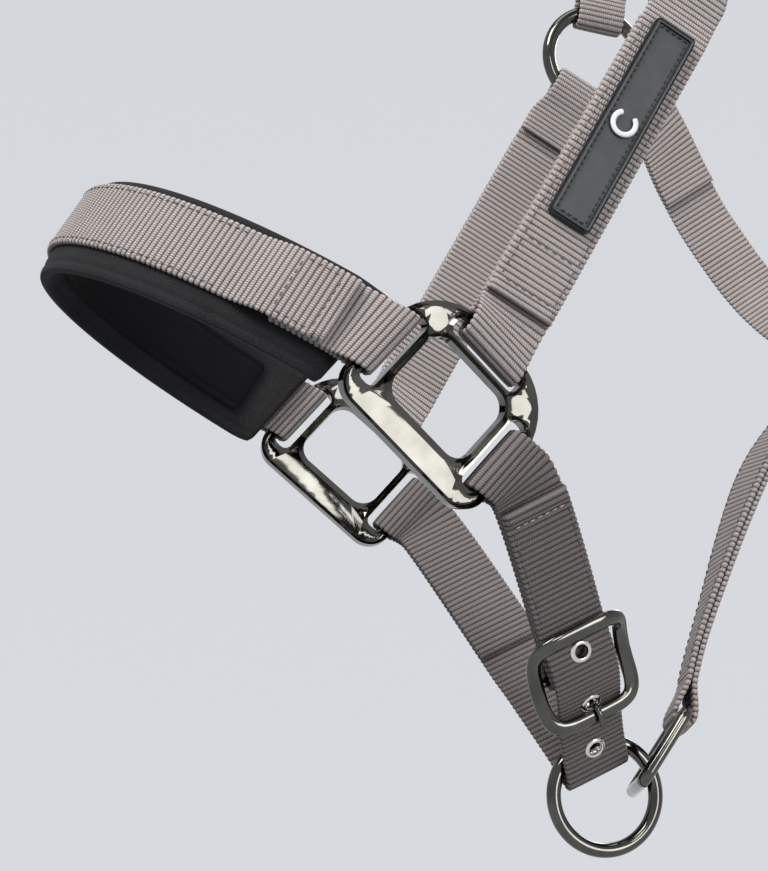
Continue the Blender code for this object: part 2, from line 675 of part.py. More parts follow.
def build_keeper(route, s):
    """Small loop that holds the crown strap's free end against the chape."""
    place, along, out, half = route.frame(s)
    across = half.normalized()
    thick = 1.2
    low, high = -HALF_PLY - WEB / 2 - GAP - thick / 2, TOP_PLY + WEB / 2 + GAP + thick / 2
    side = WEB_WIDTH / 2 + GAP + thick / 2 + 0.2
    shape = rounded((-side, low), (side, high), (1.6,) * 4, arc=3)
    middle = sum((Vector((x, y, 0)) for x, y in shape), Vector()) / len(shape)
    stations = []
    for k, (x, y) in enumerate(shape):
        ahead, behind = shape[(k + 1) % len(shape)], shape[k - 1]
        tangent = Vector((ahead[0] - behind[0], ahead[1] - behind[1], 0)).normalized()
        face = tangent.cross(Vector((0, 0, 1)))
        if face.dot(Vector((x, y, 0)) - middle) < 0:
            face = -face
        stations.append((place + x * across + y * out, face.x * across + face.y * out, along * 4.5))
    band("crown_keeper", stations, WEBBING, thick, closed=True)


def build_throat():
    route = throat_route()
    end = route.length
    eye_bar = (SNAP_EYE_WIRE + GAP + WEB / 2 + 0.1,) * 2
    near_leg = route.run([(52, -HALF_PLY), (13, -HALF_PLY), (0, -eye_bar[1])], inner=True)
    round_eye = list(reversed(route.hook(False, *eye_bar, power=2.0)))
    outer = [(0, eye_bar[1]), (13, HALF_PLY), (60, HALF_PLY), (80, 0.0), (end - 80, 0.0),
             (end - 60, HALF_PLY), (end - 13, HALF_PLY), (end, RING_HOOK[1])]
    far_leg = route.run([(end, -RING_HOOK[1]), (end - 13, -HALF_PLY), (end - 52, -HALF_PLY)], inner=True)
    round_ring = route.hook(True, *RING_HOOK, power=3.0)
    stations = near_leg + round_eye + route.run(outer) + round_ring + far_leg
    band("throatlash_strap", stations, WEBBING)


def build_jowl():
    route = jowl_route()
    end = route.length
    link = (LINK_WIRE + GAP + WEB / 2 + 0.1,) * 2
    throat = (WEB + 3 * GAP,) * 2
    marks = [(13, HALF_PLY), (end - 36, HALF_PLY), (end - 27, throat[1])]
    band("jowl_strap", double_ply(route, link, throat, marks, 2.0, 2.0), WEBBING, closed=True)


def build_snap():
    """Bolt snap on the near ring: hook and barrel, spring bolt, swivel eye."""
    def at(e, h, w=0.0):
        return side_ring(NEAR) + e * THROAT_WAY - h * SIDE + w * THROAT_ACROSS

    lane = SNAP_AXIS_OUT
    bend = [at(21.5 - lane * math.sin(a), -lane * math.cos(a))
            for a in (math.pi * k / 10 for k in range(11))]
    path = spline([at(43, 2.4), at(39, 0.8), at(34, -3.4), at(28, -6.2)], 3) + bend + [at(23.6, lane)]
    hook = tube_mesh(path, (2.1, 2.1), ups=[THROAT_ACROSS] * len(path), sides=8)
    body = place_object("snap_hook", hook, METAL, origin=at(60, lane), smooth=True)
    barrel = [(4.4, 36), (5.2, 37), (5.2, 62.5), (4.2, 64)]
    combine(body, turned_mesh(at(0, lane), THROAT_WAY, barrel, 16), "UNION")
    bore = turned_mesh(at(0, lane), THROAT_WAY, [(2.55, 33), (2.55, 60)], 16)
    pin_hole = turned_mesh(at(0, lane), THROAT_WAY, [(1.95, 59), (1.95, 66)], 16)
    slot = box_mesh(at(46.2, lane + 5), (6.0 * THROAT_WAY, 1.8 * THROAT_ACROSS, 3.6 * SIDE))
    for number, bm in enumerate((bore, pin_hole, slot), 1):
        combine_cut(body, bm, number)
    rod = turned_mesh(at(0, lane), THROAT_WAY, [(1.7, 24.1), (2.2, 24.8), (2.2, 46)], 14)
    bolt = place_object("snap_bolt", rod, BRIGHT, origin=at(42, lane), smooth=True)
    stud = [(1.4, 0.6), (1.4, 6.2), (2.7, 6.6), (2.9, 7.4), (2.3, 8.2)]
    combine(bolt, turned_mesh(at(42, lane), -SIDE, stud, 12), "UNION")
    turns, per_turn, low, high = 4, 10, 46.8, 56.8
    coil = []
    for k in range(turns * per_turn + 1):
        a = 2 * math.pi * k / per_turn
        e = low + (high - low) * k / (turns * per_turn)
        coil.append(at(e, lane + 1.75 * math.cos(a), 1.75 * math.sin(a)))
    wire = tube_mesh(coil, (0.35, 0.35), ups=[THROAT_WAY] * len(coil), sides=5)
    place_object("snap_spring", wire, BRIGHT, smooth=True)
    head = [(2.0, 57.6), (2.2, 58.0), (2.2, 59.6), (1.6, 59.6), (1.6, 64.4), (3.2, 64.5), (3.2, 66.5),
            (2.2, 69)]
    eye = place_object("snap_eye", turned_mesh(at(0, lane), THROAT_WAY, head, 14), METAL, smooth=True)
    shape = rounded((69.0, -15.6), (79.0, 15.6), (4.0,) * 4, arc=3)
    combine(eye, tube_mesh([at(e, lane, w) for e, w in shape], (SNAP_EYE_WIRE,) * 2, True,
                           [SIDE] * len(shape), 8), "UNION")


POLL = (Vector((SIDE_RING_X, 0.0, SIDE_RING_Z))
        + (CROWN_SIDE + CROWN_RISE - WEB / 2 - CROWN_PAD_THICK - LINING_THICK - 2 * GAP) * direction(CROWN_ANGLE))

for leftover in list(bpy.data.objects):
    bpy.data.objects.remove(leftover)

ROOT = bpy.data.objects.new("headcollar", None)
ROOT.location = -POLL * MM
bpy.context.scene.collection.objects.link(ROOT)

METAL = material("gunmetal", (0.12, 0.12, 0.11), 0.2, 1.0)
BRIGHT = material("bright_nickel", (0.45, 0.44, 0.42), 0.2, 1.0)
WEBBING = material("taupe_webbing", (0.27, 0.24, 0.225), 0.85)
PADDING = material("charcoal_padding", (0.03, 0.03, 0.032), 0.9)
LINING = material("black_lining", (0.012, 0.012, 0.014), 0.9)
RUBBER = material("black_rubber", (0.045, 0.047, 0.05), 0.6)

build_square("near_square", NEAR)
build_square("far_square", FAR)
build_noseband()
near_cheek = build_cheek("near", NEAR)
build_cheek("far", FAR)
build_badge(near_cheek)
build_chin()
build_link()
build_crown()
build_throat()
build_jowl()
build_snap()
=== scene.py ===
"""Looks of the headcollar: nylon webbing, neoprene pads and cast metal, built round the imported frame.

Shapes are drawn in layout millimetres, as in the part, and placed in the frame's metres by world().
"""
import math

import bmesh
import bpy
import numpy as np
from mathutils import Matrix, Vector

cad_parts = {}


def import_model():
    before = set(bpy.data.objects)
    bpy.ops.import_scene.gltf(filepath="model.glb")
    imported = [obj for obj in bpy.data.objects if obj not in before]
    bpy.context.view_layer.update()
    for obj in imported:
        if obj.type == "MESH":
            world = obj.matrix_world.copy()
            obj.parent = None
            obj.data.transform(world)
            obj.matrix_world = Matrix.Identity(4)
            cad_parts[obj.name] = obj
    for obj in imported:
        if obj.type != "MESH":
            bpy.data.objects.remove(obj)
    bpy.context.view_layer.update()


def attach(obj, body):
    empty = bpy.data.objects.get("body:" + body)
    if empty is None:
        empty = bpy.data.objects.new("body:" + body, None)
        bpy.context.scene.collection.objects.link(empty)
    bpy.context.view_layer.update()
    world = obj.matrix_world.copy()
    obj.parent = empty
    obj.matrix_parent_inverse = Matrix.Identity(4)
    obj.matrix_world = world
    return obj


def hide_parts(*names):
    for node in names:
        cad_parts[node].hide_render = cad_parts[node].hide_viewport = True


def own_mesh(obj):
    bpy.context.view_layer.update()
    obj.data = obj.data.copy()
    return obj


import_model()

MM = 0.001
SIDE = Vector((0.0, 1.0, 0.0))
NEAR, FAR = -1, 1

# ---- driving dimensions (mm, degrees) ----
WEB_WIDTH = 25.0
WEB = 1.9                    # webbing thickness
GAP = 0.3                    # clearance between touching pieces
HALF_PLY = (WEB + GAP) / 2   # offset of each of two plies lying together
TOP_PLY = 3 * HALF_PLY       # offset of a third ply on top of them
MUZZLE_HALF = 65.5           # centre plane to the middle of a square fitting
JAW_HALF = 69.0              # centre plane to the middle of a side ring

SQUARE_ANGLE = 48.0          # direction from the window to the cheek slot
SQUARE_TURN = 8.0            # chin side of each square fitting turned inwards
SQUARE_THICK = 5.0
SQUARE_ROUND = 1.75          # radius of the castings' rounded edges
SQUARE_HALF_LENGTH = 31.2
SQUARE_TOP, SQUARE_BOTTOM = 26.3, 24.6   # window centre to the cheek edge and the plain edge
SLOT_HALF = 14.3
SLOT_INNER, SLOT_OUTER = 20.5, 27.3
CHEEK_INNER, CHEEK_OUTER, CHEEK_SLOT_HALF = 16.0, 22.6, 14.9
SIDE_SLOT_SHIFT = -2.5       # noseband and chin slots sit a little below the middle
WINDOW_HALF = (17.6, 13.7)
SLOT_HOOK = (5.2, 3.9)       # reach and half height of a loop round a slot's bar

NOSE_ANGLE = 151.5           # direction the noseband reaches forwards
NOSE_WIDTH_ANGLE = 58.0
NOSE_REACH = 107.0
PAD_THICK = 5.0
PAD_ABOVE, PAD_BELOW = 3.5, 9.0
LINING_THICK = 1.8
LINING_WIDTH = 22.0

SIDE_RING_X, SIDE_RING_Z = 105.0, 174.0
SIDE_RING_RADIUS, SIDE_RING_WIRE = 20.3, 2.7
RING_HOOK = (7.3, 4.1)
RING_LOOP_WIDTH = 20.0       # webbing drawn in where it passes round a side ring

CHIN_RING_X, CHIN_RING_Z = 76.7, -128.0
CHIN_RING_RADIUS, CHIN_RING_WIRE = 19.2, 2.6
CHIN_FOLD_ANGLE = 24.8       # fold line of the chin strap in the ring
BUCKLE_AT_CHIN = 81.7        # buckle's centre bar, along the strap from the near square

LINK_TOP = Vector((106.1, 0.0, -101.4))
LINK_ANGLE = 234.5
LINK_TWIST = 17.0            # link and jowl strap hang turned towards the near side
LINK_LENGTH, LINK_HALF, LINK_WIRE = 29.0, 16.5, 2.3

CROWN_ANGLE = 83.0
CROWN_SIDE, CROWN_HALF, CROWN_RISE = 190.0, 60.0, 62.0
CROWN_PAD_THICK, CROWN_PAD_WIDTH, CROWN_PAD_HALF = 5.0, 38.0, 92.0
BUCKLE_AT_CROWN = 92.0

THROAT_ANGLE = -56.3
THROAT_RING_ANGLE = -37.5    # where the throatlash leaves the far ring

BUCKLE_HALF_WIDTH, BUCKLE_HALF_LENGTH = 17.2, 18.0
BUCKLE_WIRE = (2.8, 1.7)
BUCKLE_BAR = 1.6
TONGUE_WIRE = 1.0
EYELET_FLANGE, EYELET_BORE = 4.0, 2.2

BADGE_AT = 87.0              # along the near cheek strap, from the bar of its slot
BADGE_HALF_LENGTH, BADGE_HALF_WIDTH, BADGE_THICK = 40.0, 7.9, 2.2

SNAP_AXIS_OUT = 6.5          # snap's barrel stands this far outside the near ring's plane
SNAP_EYE_WIRE = 2.0


def direction(angle):
    """Unit vector in the centre plane, measured from +X towards +Z."""
    turn = math.radians(angle)
    return Vector((math.cos(turn), 0.0, math.sin(turn)))


def smoothstep(t):
    t = min(max(t, 0.0), 1.0)
    return t * t * (3 - 2 * t)


def spline(points, per_span=8):
    """Smooth curve through the points (Catmull-Rom)."""
    ends = [2 * points[0] - points[1], *points, 2 * points[-1] - points[-2]]
    curve = []
    for a, b, c, d in zip(ends, ends[1:], ends[2:], ends[3:]):
        for step in range(per_span):
            t = step / per_span
            curve.append(0.5 * (2 * b + (c - a) * t + (2 * a - 5 * b + 4 * c - d) * t * t
                                + (3 * b - a - 3 * c + d) * t ** 3))
    return curve + [points[-1]]


def mirrored(points):
    """The far side's copy of a near-side polyline, in reverse order."""
    return [Vector((p.x, -p.y, p.z)) for p in reversed(points)]


class Route:
    """Middle line of a strap, with the direction of its width along it.

    widths is a list of (distance, unit vector); outward is +1 or -1 and picks the strap's face.
    """

    def __init__(self, points, widths, outward, end_widths=(WEB_WIDTH, WEB_WIDTH)):
        self.points = points
        self.marks = [0.0]
        for a, b in zip(points, points[1:]):
            self.marks.append(self.marks[-1] + (b - a).length)
        self.length = self.marks[-1]
        self.widths = [(s if s >= 0 else self.length + s, w) for s, w in widths]
        self.outward = outward
        self.end_widths = end_widths

    def place(self, s):
        for i in range(len(self.points) - 1):
            if s <= self.marks[i + 1] or i == len(self.points) - 2:
                t = (s - self.marks[i]) / (self.marks[i + 1] - self.marks[i])
                return self.points[i].lerp(self.points[i + 1], t)

    def width(self, s):
        before = self.widths[0]
        for after in self.widths:
            if s < after[0]:
                t = smoothstep((s - before[0]) / (after[0] - before[0]))
                return before[1].lerp(after[1], t).normalized()
            before = after
        return before[1]

    def frame(self, s):
        """Place, tangent, outward normal and half width."""
        tangent = (self.place(s + 1.5) - self.place(s - 1.5)).normalized()
        width = self.width(s)
        normal = self.outward * tangent.cross(width).normalized()
        near_end = min(s, self.length - s)
        end_width = self.end_widths[s > self.length / 2]
        wide = end_width + (WEB_WIDTH - end_width) * smoothstep((near_end - 4) / 11)
        return self.place(s), tangent, normal, width * wide / 2

    def run(self, marks, step=2.4, inner=False):
        """Stations of a ply through (distance, offset) marks; inner plies face the other way."""
        stations = []
        for (s0, d0), (s1, d1) in zip(marks, marks[1:]):
            count = max(1, math.ceil(abs(s1 - s0) / step))
            for i in range(count + (s1 == marks[-1][0])):
                s = s0 + (s1 - s0) * i / count
                offset = d0 + (d1 - d0) * smoothstep(i / count)
                place, _, normal, half = self.frame(s)
                stations.append((place + offset * normal, -normal if inner else normal, half))
        return stations

    def hook(self, at_end, reach, height, power=2.0, segments=18):
        """Stations of the turn round a bar at the route's end, from the outer to the inner side."""
        place, tangent, normal, half = self.frame(self.length if at_end else 0.0)
        away = tangent if at_end else -tangent
        stations = []
        for i in range(1, segments):
            turn = math.pi * i / segments
            x = math.copysign(abs(math.cos(turn)) ** (2 / power), math.cos(turn))
            y = math.sin(turn) ** (2 / power)
            face = (math.copysign(abs(x) ** (power - 1), x) / height * normal
                    + y ** (power - 1) / reach * away).normalized()
            stations.append((place + x * height * normal + y * reach * away, face, half))
        return stations


def ring_path(centre, radius, right, up, count=32):
    return [centre + radius * (math.cos(a) * right + math.sin(a) * up)
            for a in (2 * math.pi * k / count for k in range(count))]


def rounded(low, high, radii, grow=0.0, arc=4):
    """Rounded rectangle; radii are for the lower left, lower right, upper right, upper left."""
    x0, y0, x1, y1 = low[0] - grow, low[1] - grow, high[0] + grow, high[1] + grow
    points = []
    corners = ((x0, y0, 1, 1, 180), (x1, y0, -1, 1, 270), (x1, y1, -1, -1, 0), (x0, y1, 1, -1, 90))
    for (x, y, sx, sy, start), radius in zip(corners, radii):
        r = radius + grow
        for k in range(arc + 1):
            a = math.radians(start + 90 * k / arc)
            points.append((x + sx * r + r * math.cos(a), y + sy * r + r * math.sin(a)))
    return points


# ---- routes ----

CHEEK_WAY = direction(SQUARE_ANGLE)


def chin_way(side):
    """Direction from a square fitting's window to its chin slot."""
    turn = math.radians(SQUARE_TURN)
    return math.cos(turn) * direction(SQUARE_ANGLE - 90) - side * math.sin(turn) * SIDE


def square_bar(side, slot):
    """Middle of the outer bar of the named slot."""
    centre = side * MUZZLE_HALF * SIDE
    if slot == "cheek":
        return centre + (CHEEK_OUTER + SQUARE_TOP) / 2 * CHEEK_WAY
    reach = (SLOT_OUTER + SQUARE_HALF_LENGTH) / 2 * (1 if slot == "chin" else -1)
    return centre + reach * chin_way(side) + SIDE_SLOT_SHIFT * CHEEK_WAY


def noseband_route():
    forward, width = direction(NOSE_ANGLE), direction(NOSE_WIDTH_ANGLE)
    start = square_bar(NEAR, "nose")
    half = -start.y
    middle = Vector((start.x, 0.0, start.z))
    points = []
    for step in range(181):
        turn = math.pi * step / 180
        points.append(middle + NOSE_REACH * math.sin(turn) * forward - half * math.cos(turn) * SIDE)
    widths = [(0, CHEEK_WAY), (3, CHEEK_WAY), (15, width), (-15, width), (-3, CHEEK_WAY)]
    return Route(points, widths, -1)


def side_ring(side):
    return Vector((SIDE_RING_X, side * JAW_HALF, SIDE_RING_Z))


def cheek_route(side):
    start = square_bar(side, "cheek")
    level = (side_ring(side) - start).normalized()
    way = Vector((level.x, 0.0, level.z)).normalized()
    end = side_ring(side) - SIDE_RING_RADIUS * way
    width = Vector((way.z, 0.0, -way.x))
    widths = [(0, chin_way(side)), (3, chin_way(side)), (15, width)]
    return Route([start, end], widths, side, (WEB_WIDTH, RING_LOOP_WIDTH))


def chin_route():
    bar = square_bar(NEAR, "chin")
    near = [bar, Vector((30.5, -57.0, -31.5)), Vector((57.5, -27.0, -84.0)),
            Vector((69.5, -8.0, -110.0)), Vector((72.9, -3.2, -117.9))]
    bottom = Vector((74.2, 0.0, -120.9))
    half = spline(near + [bottom, Vector((72.9, 3.2, -117.9))], 18)[:91]
    points = half + mirrored(half[:-1])
    width, fold = direction(26.5), direction(CHIN_FOLD_ANGLE)
    widths = [(0, CHEEK_WAY), (3, CHEEK_WAY), (15, width), (110, fold), (-110, fold), (-15, width),
              (-3, CHEEK_WAY)]
    return Route(points, widths, 1)


def crown_route():
    """From the near ring over the poll to the far ring."""
    up, middle = direction(CROWN_ANGLE), Vector((SIDE_RING_X, 0.0, SIDE_RING_Z))
    points = [middle + SIDE_RING_RADIUS * up - JAW_HALF * SIDE]
    for step in range(181):
        turn = math.pi * step / 180
        points.append(middle + (CROWN_SIDE + CROWN_RISE * math.sin(turn)) * up
                      - CROWN_HALF * math.cos(turn) * SIDE)
    points.append(middle + SIDE_RING_RADIUS * up + JAW_HALF * SIDE)
    return Route(points, [(0, direction(CROWN_ANGLE - 90))], -1, (RING_LOOP_WIDTH,) * 2)


# near to far: distance down the throat plane, sideways, and across the plane, from the side rings


# near to far: distance down the throat plane, sideways, and across the plane, from the side rings
THROAT_LINE = ((79.0, -75.5, 0.0), (98.0, -73.5, 0.0), (121.0, -65.0, 0.0), (141.0, -49.0, 0.0),
               (154.0, -29.0, 0.0), (159.4, -13.0, 0.0), (160.0, 0.0, 0.0), (159.4, 13.0, 0.0),
               (154.0, 29.0, 0.0), (140.0, 49.0, 0.3), (120.0, 62.0, 0.8), (94.0, 68.0, 1.8),
               (66.0, 69.3, 4.0), (46.0, 69.2, 6.8))
THROAT_LOW = 160.0
THROAT_WAY = direction(THROAT_ANGLE)
THROAT_ACROSS = direction(THROAT_ANGLE + 90)


def throat_route():
    middle = Vector((SIDE_RING_X, 0.0, SIDE_RING_Z))
    points = [middle + u * THROAT_WAY + y * SIDE + across * THROAT_ACROSS
              for u, y, across in THROAT_LINE]
    leave = direction(THROAT_RING_ANGLE)
    points.extend(side_ring(FAR) + (SIDE_RING_RADIUS + further) * leave for further in (8, 3.5, 0))
    start = direction(THROAT_RING_ANGLE + 90)
    return Route(spline(points, 15), [(0, THROAT_ACROSS), (-45, THROAT_ACROSS), (-6, start)], 1,
                 (WEB_WIDTH, RING_LOOP_WIDTH))


def link_way():
    """Direction of the link's bars."""
    turn = math.radians(LINK_TWIST)
    return math.cos(turn) * SIDE + math.sin(turn) * direction(LINK_ANGLE + 90)


def jowl_route():
    """From the link's upper bar along the jaw, then flat round the throatlash."""
    throat = Vector((SIDE_RING_X, 0.0, SIDE_RING_Z)) + THROAT_LOW * THROAT_WAY
    edge = WEB_WIDTH / 2 * THROAT_ACROSS
    points = [LINK_TOP, Vector((112.0, 0, -79.0)), Vector((120.5, 0, -55.0)),
              Vector((129.5, 0, -31.0)), Vector((139.0, 0, -10.0)), Vector((151.0, 0, 7.0)),
              Vector((166.0, 0, 21.5)),
              throat - edge, throat, throat + edge]
    return Route(spline(points, 15), [(0, link_way()), (20, link_way()), (110, SIDE)], 1)


# ---- plies ----


def offset_at(marks, s):
    for (s0, d0), (s1, d1) in zip(marks, marks[1:]):
        if s <= s1:
            return d0 + (d1 - d0) * smoothstep((s - s0) / (s1 - s0))
    return marks[-1][1]


def hooked_ply(route, at_end, hook, outer, inner, power=3.0, step=2.4):
    """Stations of a ply that comes in on the outer side, turns round a bar and goes back inside.

    outer and inner are (distance, offset) marks of each leg, away from the bar.
    """
    bar = route.length if at_end else 0.0
    turn = [(bar + (-13 if at_end else 13), HALF_PLY), (bar, hook[1])]
    out = route.run(outer + turn, step)
    back = route.run([(s, -d) for s, d in reversed(turn)] + [(s, -d) for s, d in inner], inner=True)
    return out + route.hook(at_end, *hook, power=power) + back


def double_ply(route, start, end, marks, start_power=3.0, end_power=2.0):
    """Stations of a closed loop of webbing round the bars at both ends of a stretch of the route."""
    outer = [(0, start[1])] + marks + [(route.length, end[1])]
    inner = [(s, -d) for s, d in reversed(outer)]
    round_end = route.hook(True, *end, power=end_power)
    round_start = route.hook(False, *start, power=start_power)
    return route.run(outer) + round_end + route.run(inner, inner=True) + list(reversed(round_start))


def cut_route(route, length):
    """The first stretch of a route, ending where the buckle's centre bar is."""
    count = max(2, round(length / 3))
    points = [route.place(length * i / count) for i in range(count + 1)]
    widths = [(length * i / count, route.width(length * i / count)) for i in range(count + 1)]
    made = Route(points, widths, route.outward, (route.end_widths[0], WEB_WIDTH))
    return made


def buckle_frame(route, s):
    place, tangent, normal, half = route.frame(s)
    across = half.normalized()
    return place, tangent, normal, across


def eyelet_axis(route, marks, s):
    def at(t):
        place, _, normal, half = route.frame(t)
        return place + offset_at(marks, t) * normal, normal, half
    middle, normal, half = at(s)
    slope = (at(s + 3)[0] - at(s - 3)[0]).normalized()
    axis = slope.cross(half.normalized())
    return middle, axis if axis.dot(normal) > 0 else -axis


# ---- objects ----

POLL = np.array(side_ring(0) + (CROWN_SIDE + CROWN_RISE - WEB / 2 - CROWN_PAD_THICK - LINING_THICK
                                - 2 * GAP) * direction(CROWN_ANGLE))


def world(points):
    """Layout millimetres to the frame's metres."""
    return (np.asarray(points, float) - POLL) * MM


def face_out(mesh):
    bm = bmesh.new()
    bm.from_mesh(mesh)
    bmesh.ops.recalc_face_normals(bm, faces=bm.faces)
    bm.to_mesh(mesh)
    bm.free()


def resmooth(made, angle):
    """Smooth shading with the edges above an angle kept sharp."""
    made.data.shade_smooth()
    made.data.set_sharp_from_angle(angle=math.radians(angle))


def piece(name, points, faces, body, slot, nodes, finish, weave=None, sharp=None):
    """Mesh object that rides on a body and stands for CAD nodes; weave is (along, across, face)."""
    mesh = bpy.data.meshes.new(name)
    mesh.from_pydata(world(points).tolist(), [], faces)
    if weave is not None:
        layer = mesh.attributes.new("weave", "FLOAT_VECTOR", "POINT")
        layer.data.foreach_set("vector", np.asarray(weave, np.float32).ravel())
    face_out(mesh)
    mesh.shade_smooth()
    if sharp:
        mesh.set_sharp_from_angle(angle=math.radians(sharp))
    mesh.materials.append(finish)
    made = bpy.data.objects.new(name, mesh)
    bpy.context.scene.collection.objects.link(made)
    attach(made, body)
    if nodes:
        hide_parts(*nodes)
    return made


def boolean(target, points, faces, operation):
    """Unites a closed mesh with a piece, or cuts it away, and applies the result."""
    mesh = bpy.data.meshes.new("tool")
    mesh.from_pydata(world(points).tolist(), [], faces)
    face_out(mesh)
    mesh.shade_smooth()
    mesh.materials.append(target.data.materials[0])
    tool = bpy.data.objects.new("tool", mesh)
    bpy.context.scene.collection.objects.link(tool)
    step = target.modifiers.new("join", "BOOLEAN")
    step.operation = operation
    step.solver = "EXACT"
    step.object = tool
    bpy.context.view_layer.update()
    graph = bpy.context.evaluated_depsgraph_get()
    result = bpy.data.meshes.new_from_object(target.evaluated_get(graph))
    target.modifiers.clear()
    target.data = result
    bpy.data.objects.remove(tool)


def grid_faces(rows, columns, closed, caps=True):
    """Quads round rows of vertices, each row a closed loop; an open tube gets end caps."""
    faces = []
    for i in range(rows if closed else rows - 1):
        a, b = i * columns, (i + 1) % rows * columns
        faces += [(a + k, a + (k + 1) % columns, b + (k + 1) % columns, b + k) for k in range(columns)]
    if caps and not closed:
        faces.append(tuple(range(columns)))
        faces.append(tuple(range((rows - 1) * columns, rows * columns)))
    return faces


def tube(path, radii, closed=False, ups=None, sides=16, taper=None):
    """Bar of elliptical section swept along a path, as points and faces."""
    points = []
    count = len(path)
    up = Vector((0.31, 0.87, 0.22)).normalized()
    for i, place in enumerate(path):
        before = path[i - 1] if closed or i else path[0]
        after = path[(i + 1) % count] if closed or i < count - 1 else path[-1]
        along = (after - before).normalized()
        if ups:
            up = ups[i]
        up = (up - up.dot(along) * along).normalized()
        across = along.cross(up)
        size = taper[i] if taper else 1.0
        for k in range(sides):
            a = 2 * math.pi * k / sides
            points.append(place + size * (math.cos(a) * radii[0] * across + math.sin(a) * radii[1] * up))
    return points, grid_faces(count, sides, closed)


def rounded_ends(path, radius, steps=4):
    """A path lengthened by half a ball at both ends, with the taper that rounds it."""
    first = (path[0] - path[1]).normalized()
    last = (path[-1] - path[-2]).normalized()
    angles = [math.pi / 2 * k / steps for k in range(steps)]
    sizes = [math.cos(a) for a in angles]
    head = [path[0] + math.sin(a) * radius * first for a in angles][:0:-1]
    tail = [path[-1] + math.sin(a) * radius * last for a in angles][1:]
    return head + path + tail, sizes[:0:-1] + [1.0] * len(path) + sizes[1:]


def turned(centre, axis, profile, sides=32, closed=False):
    """Profile of (radius, height) turned about an axis, as points and faces."""
    axis = axis.normalized()
    across = axis.orthogonal().normalized()
    over = axis.cross(across)
    points = [centre + height * axis + radius * (math.cos(a) * across + math.sin(a) * over)
              for radius, height in profile for a in (2 * math.pi * k / sides for k in range(sides))]
    return points, grid_faces(len(profile), sides, closed)


def block(centre, halves):
    a, b, c = halves
    corners = ((1, 1), (-1, 1), (-1, -1), (1, -1))
    points = [centre + i * a + j * b + k * c for k in (-1, 1) for i, j in corners]
    return points, grid_faces(2, 4, False)


def merged(parts):
    """Several (points, faces) as one."""
    points, faces = [], []
    for more_points, more_faces in parts:
        start = len(points)
        points += list(more_points)
        faces += [tuple(start + i for i in face) for face in more_faces]
    return points, faces


def plate(outline, holes, thick, bevel, place):
    """Flat casting with rounded edges; place is (centre, right, up, face normal)."""
    centre, right, up, face = place
    bm = bmesh.new()
    turns = [math.pi / 2 * k / 5 for k in range(6)]
    lower = [(-thick / 2 + bevel * (1 - math.cos(math.pi / 2 - a)), bevel * (1 - math.sin(a))) for a in turns]
    levels = lower + [(-height, inset) for height, inset in reversed(lower)]
    rims = ([], [])
    for shape, sense in [(outline, -1)] + [(hole, 1) for hole in holes]:
        rings = []
        for height, inset in levels:
            rings.append([bm.verts.new(centre + x * right + y * up + height * face)
                          for x, y in rounded(*shape, grow=sense * inset, arc=10)])
        for a, b in zip(rings, rings[1:]):
            for k in range(len(a)):
                following = (k + 1) % len(a)
                bm.faces.new((a[k], a[following], b[following], b[k]))
        for rim, ring in zip(rims, (rings[0], rings[-1])):
            rim.extend(bm.edges.get((a, b)) for a, b in zip(ring, ring[1:] + ring[:1]))
    for rim in rims:
        bmesh.ops.triangle_fill(bm, use_beauty=True, edges=rim)
    bm.verts.index_update()
    points = [vertex.co.copy() for vertex in bm.verts]
    faces = [tuple(vertex.index for vertex in f.verts) for f in bm.faces]
    bm.free()
    return points, faces


def weighted(made):
    """Flat faces keep flat shading beside their rounded edges."""
    step = made.modifiers.new("weighted", "WEIGHTED_NORMAL")
    step.keep_sharp = True
    return made


# ---- webbing ----

RIB = 2.05         # pitch of the cross ribs
YARN = 0.95        # pitch of the yarns that run along the strap
PER_RIB = 5
COLUMNS = 12
EDGE = 0.9         # roundness of the selvedge
HEM_RISE = 1.15    # how far a folded end stands above the strap


def resample(stations, spacing, closed, whole=1):
    """Even rows of (distance, place, normal, half width) along a strap."""
    rows = stations + stations[:1] if closed else stations
    table = np.array([[*place, *normal, *half] for place, normal, half in rows])
    keep = np.concatenate([[True], np.linalg.norm(np.diff(table[:, :3], axis=0), axis=1) > 1e-6])
    table = table[keep]
    marks = np.concatenate([[0], np.cumsum(np.linalg.norm(np.diff(table[:, :3], axis=0), axis=1))])
    count = max(2, round(marks[-1] / spacing / whole)) * whole
    s = np.linspace(0, marks[-1], count + 1)
    table = np.stack([np.interp(s, marks, table[:, k]) for k in range(9)], axis=1)
    if closed:
        s, table = s[:-1], table[:-1]
    normal = table[:, 3:6] / np.linalg.norm(table[:, 3:6], axis=1)[:, None]
    return s, table[:, :3], normal, table[:, 6:], marks[-1]


